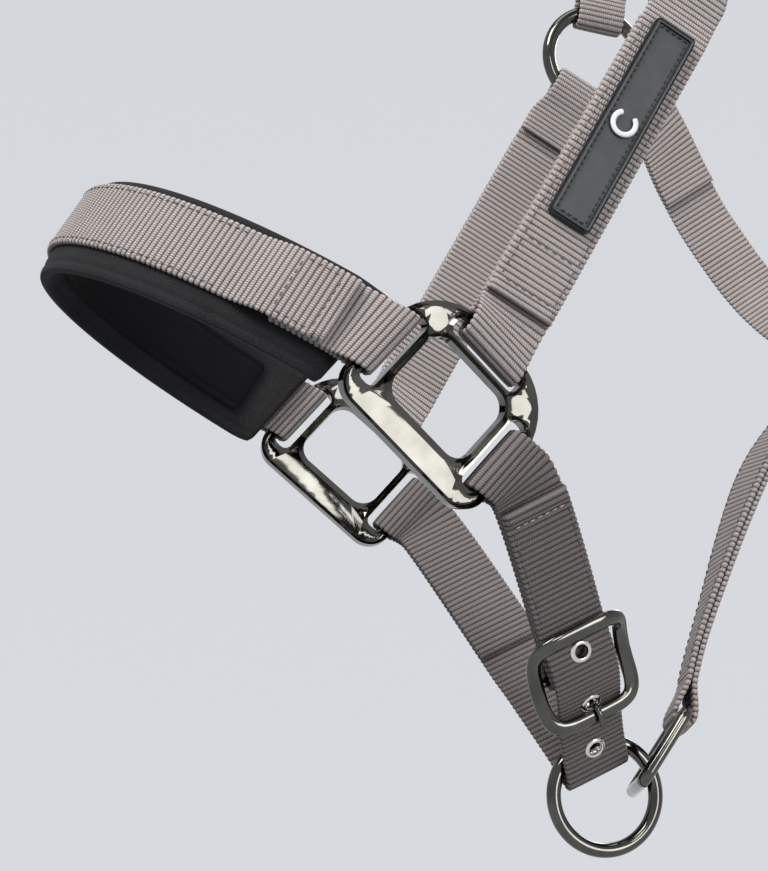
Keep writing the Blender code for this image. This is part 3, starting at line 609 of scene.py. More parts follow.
def webbing(name, stations, nodes, closed=False, hems=(0, 0), thick=0.78, rib=0.32, finish=None):
    """Ribbed strap through stations; hems are the lengths of the folded ends."""
    s, place, normal, half, total = resample(stations, RIB / PER_RIB, closed, PER_RIB if closed else 1)
    reach = np.linalg.norm(half, axis=1)
    across = half / reach[:, None]
    ridge = np.abs(np.sin(np.pi * s / RIB)) ** 0.6
    ends = np.ones_like(s)
    extra = np.zeros_like(s)
    if not closed:
        from_end = np.minimum(s, total - s)
        ends = np.clip(0.25 + from_end / 0.9, 0, 1) ** 0.5
        for away, length in ((s, hems[0]), (total - s, hems[1])):
            if length:
                extra += HEM_RISE * np.clip(away / 0.7, 0, 1) ** 0.5 * (away < length)
    over = thick + rib * ridge
    rounds = np.radians([22, 56, 90, 124, 158])
    face_w = 1 - 2 * np.arange(COLUMNS + 1) / COLUMNS
    columns = []
    inner = reach - EDGE
    lump = EDGE * (0.45 + 0.7 * ridge)
    for w in face_w:
        columns.append((inner * w, (over + extra) * ends * (1 - 0.10 * w ** 6), w * reach, 1.0))
    for a in rounds:
        columns.append((-inner - lump * math.sin(a), over * ends * math.cos(a) * 0.93, -reach, 0.0))
    for w in -face_w:
        columns.append((inner * w, -over * ends * (1 - 0.10 * w ** 6), w * reach, -1.0))
    for a in rounds:
        columns.append((inner + lump * math.sin(a), -over * ends * math.cos(a) * 0.93, reach, 0.0))
    count = len(columns)
    points = np.empty((len(s), count, 3))
    weave = np.empty((len(s), count, 3))
    for k, (w, height, mark, side) in enumerate(columns):
        points[:, k] = place + np.asarray(w)[:, None] * across + np.asarray(height)[:, None] * normal
        weave[:, k, 0], weave[:, k, 1], weave[:, k, 2] = s, mark, side
    faces = grid_faces(len(s), count, closed)
    return piece(name, points.reshape(-1, 3), faces, "headcollar", "webbing", nodes, finish or WEBBING,
                 weave.reshape(-1, 3))


PAD_SIDES = 96
PAD_CORNER = 2.0   # rounding of a pad's four corners


def pad(name, stations, nodes, thick, width, shift, slot, finish, seam=3.2, crown=0.25):
    """Foam pad: crowned between a stitched edge all round."""
    s, place, normal, half, total = resample(stations, 1.2, False)
    across = half / np.linalg.norm(half, axis=1)[:, None]
    points = np.empty((len(s), PAD_SIDES, 3))
    weave = np.empty((len(s), PAD_SIDES, 3))
    from_end = np.minimum(s, total - s)
    end_round = np.clip(from_end / (0.45 * thick), 0, 1)
    past = np.clip(PAD_CORNER - from_end, 0, PAD_CORNER)
    pull = PAD_CORNER - np.sqrt(np.clip(PAD_CORNER ** 2 - past ** 2, 0, None))
    for k in range(PAD_SIDES):
        a = 2 * math.pi * k / PAD_SIDES
        u = math.copysign(abs(math.cos(a)) ** 0.62, math.cos(a))
        v = math.copysign(abs(math.sin(a)) ** 0.42, math.sin(a))
        w = u * (width / 2 - pull)
        rise = thick / 2 * v * np.sqrt(np.clip(1 - (1 - end_round) ** 2, 0.04, 1))
        from_side = width / 2 - pull - np.abs(w)
        dip = np.exp(-((from_side - seam) / 0.8) ** 2)
        dip += np.exp(-((from_end - seam) / 0.8) ** 2) * (from_side > seam)
        rise = rise * (1 - crown * np.clip(dip, 0, 1) * abs(v))
        swell = 0.10 * thick * abs(v) * np.cos(np.clip(np.abs(w) / (width / 2), 0, 1) * math.pi / 2)
        rise = rise + math.copysign(1, v) * swell * end_round * 0.5
        points[:, k] = place + (w + shift)[:, None] * across + rise[:, None] * normal
        weave[:, k, 0], weave[:, k, 1], weave[:, k, 2] = s, w, v
    made = piece(name, points.reshape(-1, 3), grid_faces(len(s), PAD_SIDES, False), "headcollar", slot,
                 nodes, finish, weave.reshape(-1, 3))
    return made


# ---- thread ----

def stitches(line, lift=0.0, length=2.1, gap=0.9, thread=0.24):
    """Row of stitches along a line of (place, normal) pairs, as (points, faces) parts."""
    places = [place for place, _ in line]
    marks = [0.0]
    for a, b in zip(places, places[1:]):
        marks.append(marks[-1] + (b - a).length)

    def at(s):
        for i in range(len(places) - 1):
            if s <= marks[i + 1] or i == len(places) - 2:
                t = (s - marks[i]) / max(marks[i + 1] - marks[i], 1e-6)
                return places[i].lerp(places[i + 1], t), line[i][1]
    parts = []
    count = int(marks[-1] / (length + gap))
    spare = (marks[-1] - count * (length + gap) + gap) / 2
    for n in range(count):
        start = spare + n * (length + gap)
        path, taper = [], []
        for k in range(6):
            t = k / 5
            place, normal = at(start + t * length)
            path.append(place + normal * (lift + 0.30 * math.sin(math.pi * t) - 0.15))
            taper.append(0.35 + 0.65 * math.sin(math.pi * t) ** 0.5)
        parts.append(tube(path, (thread, thread), taper=taper, sides=6))
    return parts


def on_strap(route, offset, s, w, lift=1.05):
    """Place and normal on the outer face of a ply, w across it from -1 to 1."""
    place, _, normal, half = route.frame(s)
    return place + offset * normal + w * half + lift * normal, normal


def thread_piece(name, rows, finish=None, slot="webbing", **how):
    parts = [part for row in rows for part in stitches(row, **how)]
    points, faces = merged(parts)
    return piece(name, points, faces, "headcollar", slot, (), finish or THREAD)


def across_row(route, offset, s, reach=0.82, lift=1.05, steps=8):
    return [on_strap(route, offset, s, reach * (2 * k / steps - 1), lift) for k in range(steps + 1)]


def along_row(route, offset, start, end, w, lift=1.05):
    steps = max(2, round(abs(end - start) / 4))
    return [on_strap(route, offset, start + (end - start) * k / steps, w, lift) for k in range(steps + 1)]


def hem_rows(route, offset, s, inwards, length=22.0):
    """Box of stitching by a hem at s."""
    near, far = s + inwards * 5.8, s + inwards * length
    return [across_row(route, offset, near), across_row(route, offset, far),
            along_row(route, offset, near, far, 0.82), along_row(route, offset, near, far, -0.82)]


# ---- finishes ----

def blank(name):
    made = bpy.data.materials.new(name)
    made.use_nodes = True
    return made, made.node_tree, made.node_tree.nodes["Principled BSDF"]


def add(tree, kind, inputs=(), **settings):
    """Adds a node; inputs are (socket, value or output socket) pairs."""
    made = tree.nodes.new(kind)
    for key, value in settings.items():
        setattr(made, key, value)
    for key, value in inputs:
        if isinstance(value, bpy.types.NodeSocket):
            tree.links.new(value, made.inputs[key])
        else:
            made.inputs[key].default_value = value
    return made


def maths(tree, operation, a, b=0.0, c=0.5):
    return add(tree, "ShaderNodeMath", [(0, a), (1, b), (2, c)], operation=operation).outputs[0]


def noise(tree, scale, detail=3.0, rough=0.55):
    where = add(tree, "ShaderNodeTexCoord").outputs["Object"]
    return add(tree, "ShaderNodeTexNoise", [("Vector", where), ("Scale", scale), ("Detail", detail),
                                            ("Roughness", rough)]).outputs["Fac"]


def ramp(tree, value, stops):
    made = add(tree, "ShaderNodeValToRGB", [("Fac", value)])
    elements = made.color_ramp.elements
    for element, (at, _) in zip(elements, (stops[0], stops[-1])):
        element.position = at
    for at, _ in stops[1:-1]:
        elements.new(at)
    for element, (_, colour) in zip(elements, stops):
        element.color = (*colour, 1.0)
    return made.outputs["Color"]


def remap(tree, value, low, high):
    return add(tree, "ShaderNodeMapRange", [("Value", value), ("To Min", low), ("To Max", high)]).outputs[0]


def bump(tree, shader, height, distance, strength=1.0):
    made = add(tree, "ShaderNodeBump", [("Height", height), ("Distance", distance), ("Strength", strength)])
    tree.links.new(made.outputs["Normal"], shader.inputs["Normal"])


def woven(name, dark, light, sheen):
    """Ribbed webbing: yarns along the strap over cross ribs, with painted shade in the rib grooves, and dust
    and wear.
    """
    made, tree, shader = blank(name)
    weave = add(tree, "ShaderNodeAttribute", attribute_name="weave")
    parts = add(tree, "ShaderNodeSeparateXYZ", [("Vector", weave.outputs["Vector"])])
    along, across = parts.outputs["X"], parts.outputs["Y"]
    rib = maths(tree, "ABSOLUTE", maths(tree, "SINE", maths(tree, "MULTIPLY", along, math.pi / RIB)))
    row = maths(tree, "FLOOR", maths(tree, "DIVIDE", along, RIB))
    turn = maths(tree, "ADD", maths(tree, "MULTIPLY", across, 2 * math.pi / YARN),
                 maths(tree, "MULTIPLY", row, math.pi))
    strand = maths(tree, "MULTIPLY_ADD", maths(tree, "SINE", turn), 0.5, 0.5)
    fine, broad = noise(tree, 2600.0), noise(tree, 45.0, 2.0)
    # painted shade: rib is low in the grooves between cross ribs, so the colour darkens there
    shade = maths(tree, "ADD", maths(tree, "MULTIPLY", rib, 0.68), maths(tree, "MULTIPLY", strand, 0.12))
    shade = maths(tree, "ADD", shade, maths(tree, "MULTIPLY", fine, 0.18))
    shade = maths(tree, "ADD", shade, maths(tree, "MULTIPLY", broad, 0.12))
    middle = tuple(0.35 * a + 0.65 * b for a, b in zip(dark, light))
    colour = ramp(tree, shade, [(0.25, dark), (0.6, middle), (1.0, light)])
    tree.links.new(colour, shader.inputs["Base Color"])
    tree.links.new(remap(tree, fine, 0.68, 0.9), shader.inputs["Roughness"])
    height = maths(tree, "ADD", maths(tree, "MULTIPLY", strand, 0.45), maths(tree, "MULTIPLY", fine, 0.4))
    bump(tree, shader, height, 0.00045)
    shader.inputs["Sheen Weight"].default_value = sheen
    shader.inputs["Sheen Roughness"].default_value = 0.4
    return made


def cast_metal(name, low, high, smooth, rough):
    """Polished plated casting: faint orange peel and uneven polish."""
    made, tree, shader = blank(name)
    cloud = noise(tree, 90.0, 4.0)
    tree.links.new(ramp(tree, cloud, [(0.3, low), (0.7, high)]), shader.inputs["Base Color"])
    tree.links.new(remap(tree, noise(tree, 700.0), smooth, rough), shader.inputs["Roughness"])
    bump(tree, shader, noise(tree, 160.0, 1.0), 0.00012, 0.5)
    shader.inputs["Metallic"].default_value = 1.0
    return made


def knitted(name, dark, light, stitch=1700.0, sheen=0.3, depth=0.00018):
    """Neoprene faced with fine jersey."""
    made, tree, shader = blank(name)
    weave = add(tree, "ShaderNodeAttribute", attribute_name="weave")
    parts = add(tree, "ShaderNodeSeparateXYZ", [("Vector", weave.outputs["Vector"])])
    wale = maths(tree, "SINE", maths(tree, "MULTIPLY", parts.outputs["Y"], 2 * math.pi / 0.7))
    course = maths(tree, "SINE", maths(tree, "MULTIPLY", parts.outputs["X"], 2 * math.pi / 0.9))
    loops = maths(tree, "MULTIPLY", wale, course)
    fine, broad = noise(tree, stitch), noise(tree, 60.0, 2.0)
    shade = maths(tree, "ADD", maths(tree, "MULTIPLY", fine, 0.7), maths(tree, "MULTIPLY", broad, 0.3))
    tree.links.new(ramp(tree, shade, [(0.3, dark), (0.7, light)]), shader.inputs["Base Color"])
    tree.links.new(remap(tree, fine, 0.75, 0.95), shader.inputs["Roughness"])
    height = maths(tree, "ADD", maths(tree, "MULTIPLY", loops, 0.5), fine)
    bump(tree, shader, height, depth)
    shader.inputs["Specular IOR Level"].default_value = 0.12
    shader.inputs["Sheen Weight"].default_value = sheen
    shader.inputs["Sheen Roughness"].default_value = 0.5
    return made


def rubbery(name, dark, light, low=0.42, high=0.62):
    made, tree, shader = blank(name)
    fine = noise(tree, 1500.0)
    tree.links.new(ramp(tree, noise(tree, 120.0), [(0.3, dark), (0.7, light)]), shader.inputs["Base Color"])
    tree.links.new(remap(tree, fine, low, high), shader.inputs["Roughness"])
    bump(tree, shader, fine, 0.00010)
    return made


def plain_stage(name, colour):
    made, tree, shader = blank(name)
    shader.inputs["Base Color"].default_value = (*(0.3 * part for part in colour), 1.0)
    shader.inputs["Emission Color"].default_value = (*colour, 1.0)
    shader.inputs["Emission Strength"].default_value = 0.84
    shader.inputs["Roughness"].default_value = 0.95
    shader.inputs["Specular IOR Level"].default_value = 0.1
    return made


WEBBING = woven("taupe_webbing", (0.022, 0.018, 0.017), (0.40, 0.35, 0.335), sheen=0.06)
# painted shade: a darker copy of the taupe webbing, for the chin strap and its chape, stands in for the shade
# they hang in
SHADED_WEBBING = woven("painted_shade_taupe_webbing", (0.009, 0.0075, 0.0075), (0.185, 0.16, 0.153), sheen=0.02)
THREAD = rubbery("taupe_thread", (0.07, 0.062, 0.058), (0.15, 0.132, 0.125), 0.6, 0.8)
PALE_THREAD = rubbery("pale_thread", (0.42, 0.39, 0.36), (0.62, 0.58, 0.54), 0.6, 0.8)
BLACK_THREAD = rubbery("black_thread", (0.006, 0.006, 0.007), (0.02, 0.02, 0.022), 0.5, 0.7)
METAL = cast_metal("gunmetal", (0.07, 0.068, 0.061), (0.10, 0.097, 0.087), 0.05, 0.12)
BRIGHT = cast_metal("bright_nickel", (0.50, 0.49, 0.46), (0.62, 0.61, 0.58), 0.12, 0.26)
PADDING = knitted("charcoal_neoprene", (0.008, 0.008, 0.009), (0.026, 0.026, 0.028), sheen=0.04)
LINING = knitted("black_lining", (0.0025, 0.0022, 0.003), (0.006, 0.005, 0.0065), 2200.0, 0.02, 0.00012)
RUBBER = rubbery("charcoal_rubber", (0.017, 0.019, 0.022), (0.028, 0.031, 0.035))
MOTIF = rubbery("pale_rubber", (0.55, 0.56, 0.57), (0.7, 0.71, 0.72))


# ---- fittings ----

def build_square(name, side):
    along = chin_way(side)
    outline = ((-SQUARE_HALF_LENGTH, -SQUARE_BOTTOM), (SQUARE_HALF_LENGTH, SQUARE_TOP), (9, 9, 23, 23))
    low, high = SIDE_SLOT_SHIFT - SLOT_HALF, SIDE_SLOT_SHIFT + SLOT_HALF
    holes = [((-WINDOW_HALF[0], -WINDOW_HALF[1]), WINDOW_HALF, (6.5,) * 4),
             ((-SLOT_OUTER, low), (-SLOT_INNER, high), (2.6,) * 4),
             ((SLOT_INNER, low), (SLOT_OUTER, high), (2.6,) * 4),
             ((-CHEEK_SLOT_HALF, CHEEK_INNER), (CHEEK_SLOT_HALF, CHEEK_OUTER), (2.6,) * 4)]
    place = (side * MUZZLE_HALF * SIDE, along, CHEEK_WAY, along.cross(CHEEK_WAY).normalized())
    points, faces = plate(outline, holes, SQUARE_THICK, SQUARE_ROUND, place)
    weighted(piece(name + "_casting", points, faces, "headcollar", "gunmetal", (name,), METAL))


def build_rings():
    for name, side in (("near", NEAR), ("far", FAR)):
        path = ring_path(side_ring(side), SIDE_RING_RADIUS, direction(0), direction(90), 96)
        points, faces = tube(path, (SIDE_RING_WIRE,) * 2, True, sides=24)
        piece(name + "_ring_round", points, faces, name + "_ring", "gunmetal", (name + "_cheek_ring",), METAL)
    centre = Vector((CHIN_RING_X, 0.0, CHIN_RING_Z))
    path = ring_path(centre, CHIN_RING_RADIUS, direction(0), direction(90), 96)
    points, faces = tube(path, (CHIN_RING_WIRE,) * 2, True, sides=24)
    piece("chin_ring_round", points, faces, "chin_ring", "gunmetal", ("chin_ring",), METAL)
    shape = rounded((-LINK_HALF, 0.0), (LINK_HALF, LINK_LENGTH), (3.4,) * 4, arc=10)
    path = [LINK_TOP + x * link_way() + y * direction(LINK_ANGLE) for x, y in shape]
    points, faces = tube(path, (LINK_WIRE,) * 2, True, sides=20)
    piece("jowl_link_cast", points, faces, "jowl_link", "gunmetal", ("jowl_link",), METAL)


def build_buckle(prefix, route, s):
    place, along, out, across = buckle_frame(route, s)
    path = []
    count, power = 112, 5.0
    for k in range(count):
        a = 2 * math.pi * k / count
        u = math.copysign(abs(math.cos(a)) ** (2 / power), math.cos(a)) * BUCKLE_HALF_WIDTH
        v = math.copysign(abs(math.sin(a)) ** (2 / power), math.sin(a)) * BUCKLE_HALF_LENGTH
        rise = 1.3 + (v / BUCKLE_HALF_LENGTH) ** 2 * (4.2 if v > 0 else 6.4)
        path.append(place + u * across + v * along + rise * out)
    path = even_path(path, count)
    points, faces = tube(path, BUCKLE_WIRE, True, [out] * len(path), 24)
    made = piece(prefix + "_buckle_cast", points, faces, "headcollar", "gunmetal",
                 (prefix + "_buckle_frame",), METAL)
    reach = (BUCKLE_HALF_WIDTH - 0.6) * across
    boolean(made, *tube([place - reach, place, place + reach], (BUCKLE_BAR,) * 2, sides=20), "UNION")
    resmooth(made, 40)
    shaft = [(2.1, -2.1), (6.0, -2.7), (10.3, -2.0), (12.4, 0.2), (13.3, 3.6), (14.3, 6.9),
             (17.0, 8.6), (21.2, 8.7)]
    path = spline([place + v * along + d * out for v, d in shaft], 6)
    path, taper = rounded_ends(path, TONGUE_WIRE)
    points, faces = tube(path, (TONGUE_WIRE,) * 2, ups=[across] * len(path), sides=16, taper=taper)
    tongue = piece(prefix + "_tongue_pin", points, faces, prefix + "_tongue", "gunmetal",
                   (prefix + "_buckle_tongue",), METAL)
    eye = ring_path(place, BUCKLE_BAR + GAP + TONGUE_WIRE, along, out, 40)
    boolean(tongue, *tube(eye, (TONGUE_WIRE,) * 2, True, sides=16), "UNION")
    resmooth(tongue, 40)


def even_path(path, count):
    """A closed path's points spread evenly along it."""
    marks = [0.0]
    ring = path + path[:1]
    for a, b in zip(ring, ring[1:]):
        marks.append(marks[-1] + (b - a).length)
    even = np.linspace(0, marks[-1], count, endpoint=False)
    table = np.array(ring)
    return [Vector([np.interp(s, marks, table[:, k]) for k in range(3)]) for s in even]


EYELETS = (-9.0, 13.4, 36.0, 58.5)   # along the strap from a buckle's centre bar


def build_eyelets(prefix, strap, route, marks, places):
    """Rolled nickel eyelets, and the holes they line."""
    cutters = []
    for number, s in enumerate(places, 1):
        centre, axis = eyelet_axis(route, marks, s)
        face = WEB / 2 + GAP
        neck = EYELET_BORE + 0.55
        roll = [(EYELET_BORE, -face + 0.5), (EYELET_BORE + 0.35, -face - 0.35),
                (EYELET_BORE + 1.0, -face - 0.55), (EYELET_FLANGE - 0.3, -face - 0.3),
                (EYELET_FLANGE, -face), (neck, -face + 0.05)]
        profile = roll + [(radius, -height) for radius, height in reversed(roll)]
        points, faces = turned(centre, axis, profile, 36, True)
        piece(f"{prefix}_eyelet_{number}_rolled", points, faces, "headcollar", "bright_nickel",
              (f"{prefix}_eyelet_{number}",), BRIGHT, sharp=50)
        cutters.append(turned(centre, axis, [(neck - 0.2, -3.0), (neck - 0.2, 3.0)], 20))
    boolean(strap, *merged(cutters), "DIFFERENCE")


def chape(name, route, s, start_hook, finish=None):
    """Doubled webbing that holds a buckle's centre bar, with a slot for the tongue."""
    short = cut_route(route, s)
    bar = (BUCKLE_BAR + GAP + WEB / 2,) * 2
    stations = double_ply(short, start_hook, bar, [(13, HALF_PLY), (s - 10, HALF_PLY)])
    made = webbing(name + "_woven", stations, (name,), closed=True, finish=finish)
    place, along, out, across = buckle_frame(route, s)
    boolean(made, *block(place, (6 * along, 1.8 * across, 8 * out)), "DIFFERENCE")


# ---- straps ----

def build_noseband():
    route = noseband_route()
    end = route.length
    top = [(14, TOP_PLY), (34, TOP_PLY), (50, -HALF_PLY), (end - 50, -HALF_PLY), (end - 34, TOP_PLY),
           (end - 14, TOP_PLY)]
    webbing("noseband_woven", route.run(top), ("noseband_webbing",), hems=(5, 5))
    for name, at_end in (("noseband_near_loop", False), ("noseband_far_loop", True)):
        far = end if at_end else 0
        leg = [(abs(far - 33), HALF_PLY)]
        webbing(name + "_woven", hooked_ply(route, at_end, SLOT_HOOK, leg, leg), (name,))
    deep = -HALF_PLY - WEB / 2 - GAP - PAD_THICK / 2
    middle = (PAD_ABOVE - PAD_BELOW) / 2
    marks = [(5, deep - 2.6), (18, deep), (end - 18, deep), (end - 5, deep - 2.6)]
    pad("noseband_neoprene", route.run(marks), ("noseband_pad",), PAD_THICK,
        WEB_WIDTH + PAD_ABOVE + PAD_BELOW, middle, "padding", PADDING)
    deeper = deep - PAD_THICK / 2 - GAP - LINING_THICK / 2
    pad("noseband_lining_panel", route.run([(20, deeper), (end - 20, deeper)]), ("noseband_lining",),
        LINING_THICK, LINING_WIDTH, middle, "lining", LINING, seam=2.2, crown=0.5)
    thread_piece("noseband_stitches", hem_rows(route, TOP_PLY, 14, 1, 19.0) +
                 hem_rows(route, TOP_PLY, end - 14, -1, 19.0))
    rows = [along_row(route, -HALF_PLY, 52, end - 52, w) for w in (-0.84, 0.84)]
    thread_piece("noseband_edge_stitches", rows)


def build_cheek(name, side):
    route = cheek_route(side)
    outer = [(14, TOP_PLY), (126, TOP_PLY), (138, HALF_PLY)]
    webbing(name + "_cheek_woven", hooked_ply(route, True, RING_HOOK, outer, [(134, HALF_PLY)]),
            (name + "_cheek_strap",), hems=(5, 0))
    loop = hooked_ply(route, False, SLOT_HOOK, [(122, HALF_PLY)], [(128, HALF_PLY)])
    webbing(name + "_cheek_loop_woven", loop, (name + "_cheek_loop",))
    rows = hem_rows(route, TOP_PLY, 14, 1) + [across_row(route, TOP_PLY, 124)]
    rows += [along_row(route, TOP_PLY, 36, 124, w) for w in (-0.84, 0.84)]
    thread_piece(name + "_cheek_stitches", rows)
    return route


def build_badge(route):
    place, along, out, half = route.frame(BADGE_AT)
    over = half.normalized()
    base = TOP_PLY + WEB / 2 + GAP + BADGE_THICK / 2
    size = (BADGE_HALF_LENGTH, BADGE_HALF_WIDTH)
    centre = place + base * out
    points, faces = plate(((-size[0], -size[1]), size, (1.6,) * 4), [], BADGE_THICK, 0.5,
                          (centre, along, over, out))
    weighted(piece("badge_patch", points, faces, "headcollar", "badge_rubber", ("badge",), RUBBER))
    top = centre + (BADGE_THICK / 2 + 0.12) * out
    outer = (size[0] - 0.7, size[1] - 0.7)
    inner = (size[0] - 1.5, size[1] - 1.5)
    opening = ((-inner[0], -inner[1]), inner, (0.7,) * 4)
    points, faces = plate(((-outer[0], -outer[1]), outer, (1.2,) * 4), [opening], 0.6, 0.2,
                          (top, along, over, out))
    weighted(piece("badge_border", points, faces, "headcollar", "badge_rubber", (), RUBBER))
    ring = rounded((-size[0] + 2.4, -size[1] + 2.4), (size[0] - 2.4, size[1] - 2.4), (0.8,) * 4, arc=3)
    line = [(centre + x * along + y * over + (BADGE_THICK / 2) * out, out) for x, y in ring + ring[:1]]
    thread_piece("badge_stitches", [line], BLACK_THREAD, "badge_rubber", length=1.7, gap=0.7, thread=0.25)
    middle = centre + (BADGE_THICK / 2 + GAP + 0.25) * out
    arc = [middle + 4.0 * (math.cos(a) * along + math.sin(a) * over)
           for a in (math.radians(40 + 280 * k / 40) for k in range(41))]
    path, taper = rounded_ends(arc, 0.5)
    points, faces = tube(path, (0.95, 0.42), ups=[out] * len(path), sides=14, taper=taper)
    piece("badge_motif", points, faces, "headcollar", "bright_nickel", ("badge_horseshoe",), MOTIF)


def buckled(first, buckle, single, double):
    """Marks of a strap from its free end, through the buckle, to where it is doubled again."""
    return [(first, TOP_PLY), (buckle - 20, TOP_PLY), (buckle - 4, 5.3), (buckle, 5.3),
            (buckle + 25, 0.6), (buckle + 38, 0.0), (single, 0.0), (double, HALF_PLY)]


def build_chin():
    route = chin_route()
    end = route.length
    buckle = BUCKLE_AT_CHIN
    # the chin chape and strap take the darker webbing copy: painted shade
    chape("chin_chape", route, buckle, SLOT_HOOK, SHADED_WEBBING)
    outer = buckled(14, buckle, end - 90, end - 76)
    strap = webbing("chin_strap_woven", hooked_ply(route, True, SLOT_HOOK, outer, [(end - 70, HALF_PLY)]),
                    ("chin_strap",), hems=(5, 0), finish=SHADED_WEBBING)
    build_buckle("chin", route, buckle)
    build_eyelets("chin", strap, route, outer, [buckle + d for d in EYELETS])
    thread_piece("chin_hem_stitches", [across_row(route, TOP_PLY, 20.2)], PALE_THREAD, length=1.9)
    rows = [along_row(route, TOP_PLY, 21, buckle - 24, w) for w in (-0.84, 0.84)]
    rows += hem_rows(route, HALF_PLY, end - 74, 1, 40.0)
    thread_piece("chin_stitches", rows)


def build_crown():
    route = crown_route()
    end = route.length
    buckle = BUCKLE_AT_CROWN
    chape("crown_chape", route, buckle, RING_HOOK)
    outer = buckled(24, buckle, end - 100, end - 84)
    strap = webbing("crown_strap_woven", hooked_ply(route, True, RING_HOOK, outer, [(end - 76, HALF_PLY)]),
                    ("crown_strap",), hems=(5, 0))
    build_buckle("crown", route, buckle)
    build_eyelets("crown", strap, route, outer, [buckle + d for d in EYELETS])
    build_keeper(route, 46.0)
    deep = -WEB / 2 - GAP - CROWN_PAD_THICK / 2
    low, high = end / 2 - CROWN_PAD_HALF, end / 2 + CROWN_PAD_HALF
    pad("crown_neoprene", route.run([(low, deep), (high, deep)]), ("crown_pad",), CROWN_PAD_THICK,
        CROWN_PAD_WIDTH, 0.0, "padding", PADDING)
    deep -= CROWN_PAD_THICK / 2 + GAP + LINING_THICK / 2
    pad("crown_lining_panel", route.run([(low + 10, deep), (high - 10, deep)]), ("crown_lining",),
        LINING_THICK, LINING_WIDTH, 0.0, "lining", LINING, seam=2.2, crown=0.5)
    rows = [across_row(route, 0.0, low + 6), across_row(route, 0.0, high - 6)]
    rows += [along_row(route, 0.0, low + 6, high - 6, w) for w in (-0.84, 0.84)]
    rows += hem_rows(route, HALF_PLY, end - 80, 1, 40.0) + [across_row(route, TOP_PLY, 30)]
    thread_piece("crown_stitches", rows)


def build_keeper(route, s):
    place, along, out, half = route.frame(s)
    across = half.normalized()
    thick = 1.2
    low, high = -HALF_PLY - WEB / 2 - GAP - thick / 2, TOP_PLY + WEB / 2 + GAP + thick / 2
    reach = WEB_WIDTH / 2 + GAP + thick / 2 + 0.2
    shape = rounded((-reach, low), (reach, high), (1.6,) * 4, arc=6)
    middle = sum((Vector((x, y, 0)) for x, y in shape), Vector()) / len(shape)
    stations = []
    for k, (x, y) in enumerate(shape):
        ahead, behind = shape[(k + 1) % len(shape)], shape[k - 1]
        tangent = Vector((ahead[0] - behind[0], ahead[1] - behind[1], 0)).normalized()
        face = tangent.cross(Vector((0, 0, 1)))
        if face.dot(Vector((x, y, 0)) - middle) < 0:
            face = -face
        stations.append((place + x * across + y * out, face.x * across + face.y * out, along * 4.5))
    webbing("crown_keeper_woven", stations, ("crown_keeper",), closed=True, thick=0.48, rib=0.14)


def build_throat():
    route = throat_route()
    end = route.length
    eye_bar = (SNAP_EYE_WIRE + GAP + WEB / 2 + 0.1,) * 2
    near_leg = route.run([(52, -HALF_PLY), (13, -HALF_PLY), (0, -eye_bar[1])], inner=True)
    round_eye = list(reversed(route.hook(False, *eye_bar, power=2.0)))
    outer = [(0, eye_bar[1]), (13, HALF_PLY), (60, HALF_PLY), (80, 0.0), (end - 80, 0.0),
             (end - 60, HALF_PLY), (end - 13, HALF_PLY), (end, RING_HOOK[1])]
    far_leg = route.run([(end, -RING_HOOK[1]), (end - 13, -HALF_PLY), (end - 52, -HALF_PLY)], inner=True)
    stations = near_leg + round_eye + route.run(outer) + route.hook(True, *RING_HOOK, power=3.0) + far_leg
    webbing("throatlash_woven", stations, ("throatlash_strap",))
    rows = [across_row(route, HALF_PLY, t) for t in (16, 24, 46, end - 46, end - 24, end - 16)]
    thread_piece("throatlash_stitches", rows)


def build_jowl():
    route = jowl_route()
    end = route.length
    link = (LINK_WIRE + GAP + WEB / 2 + 0.1,) * 2
    throat = (WEB + 3 * GAP,) * 2
    marks = [(13, HALF_PLY), (end - 36, HALF_PLY), (end - 27, throat[1])]
    webbing("jowl_woven", double_ply(route, link, throat, marks, 2.0, 2.0), ("jowl_strap",), closed=True)
    rows = [across_row(route, HALF_PLY, t) for t in (14, end - 38)]
    rows += [along_row(route, HALF_PLY, 14, end - 38, w) for w in (-0.84, 0.84)]
    thread_piece("jowl_stitches", rows)


def build_spring(at, lane):
    """Coil behind the bolt."""
    turns, per_turn, low, high = 4, 28, 46.8, 56.8
    coil = []
    for k in range(turns * per_turn + 1):
        a = 2 * math.pi * k / per_turn
        e = low + (high - low) * k / (turns * per_turn)
        coil.append(at(e, lane + 1.75 * math.cos(a), 1.75 * math.sin(a)))
    points, faces = tube(coil, (0.35, 0.35), ups=[THROAT_WAY] * len(coil), sides=10)
    spring = piece("snap_spring_wire", points, faces, "snap", "bright_nickel", ("snap_spring",), BRIGHT)
    tuple(world(at(high + 0.4, lane)))
    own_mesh(spring)


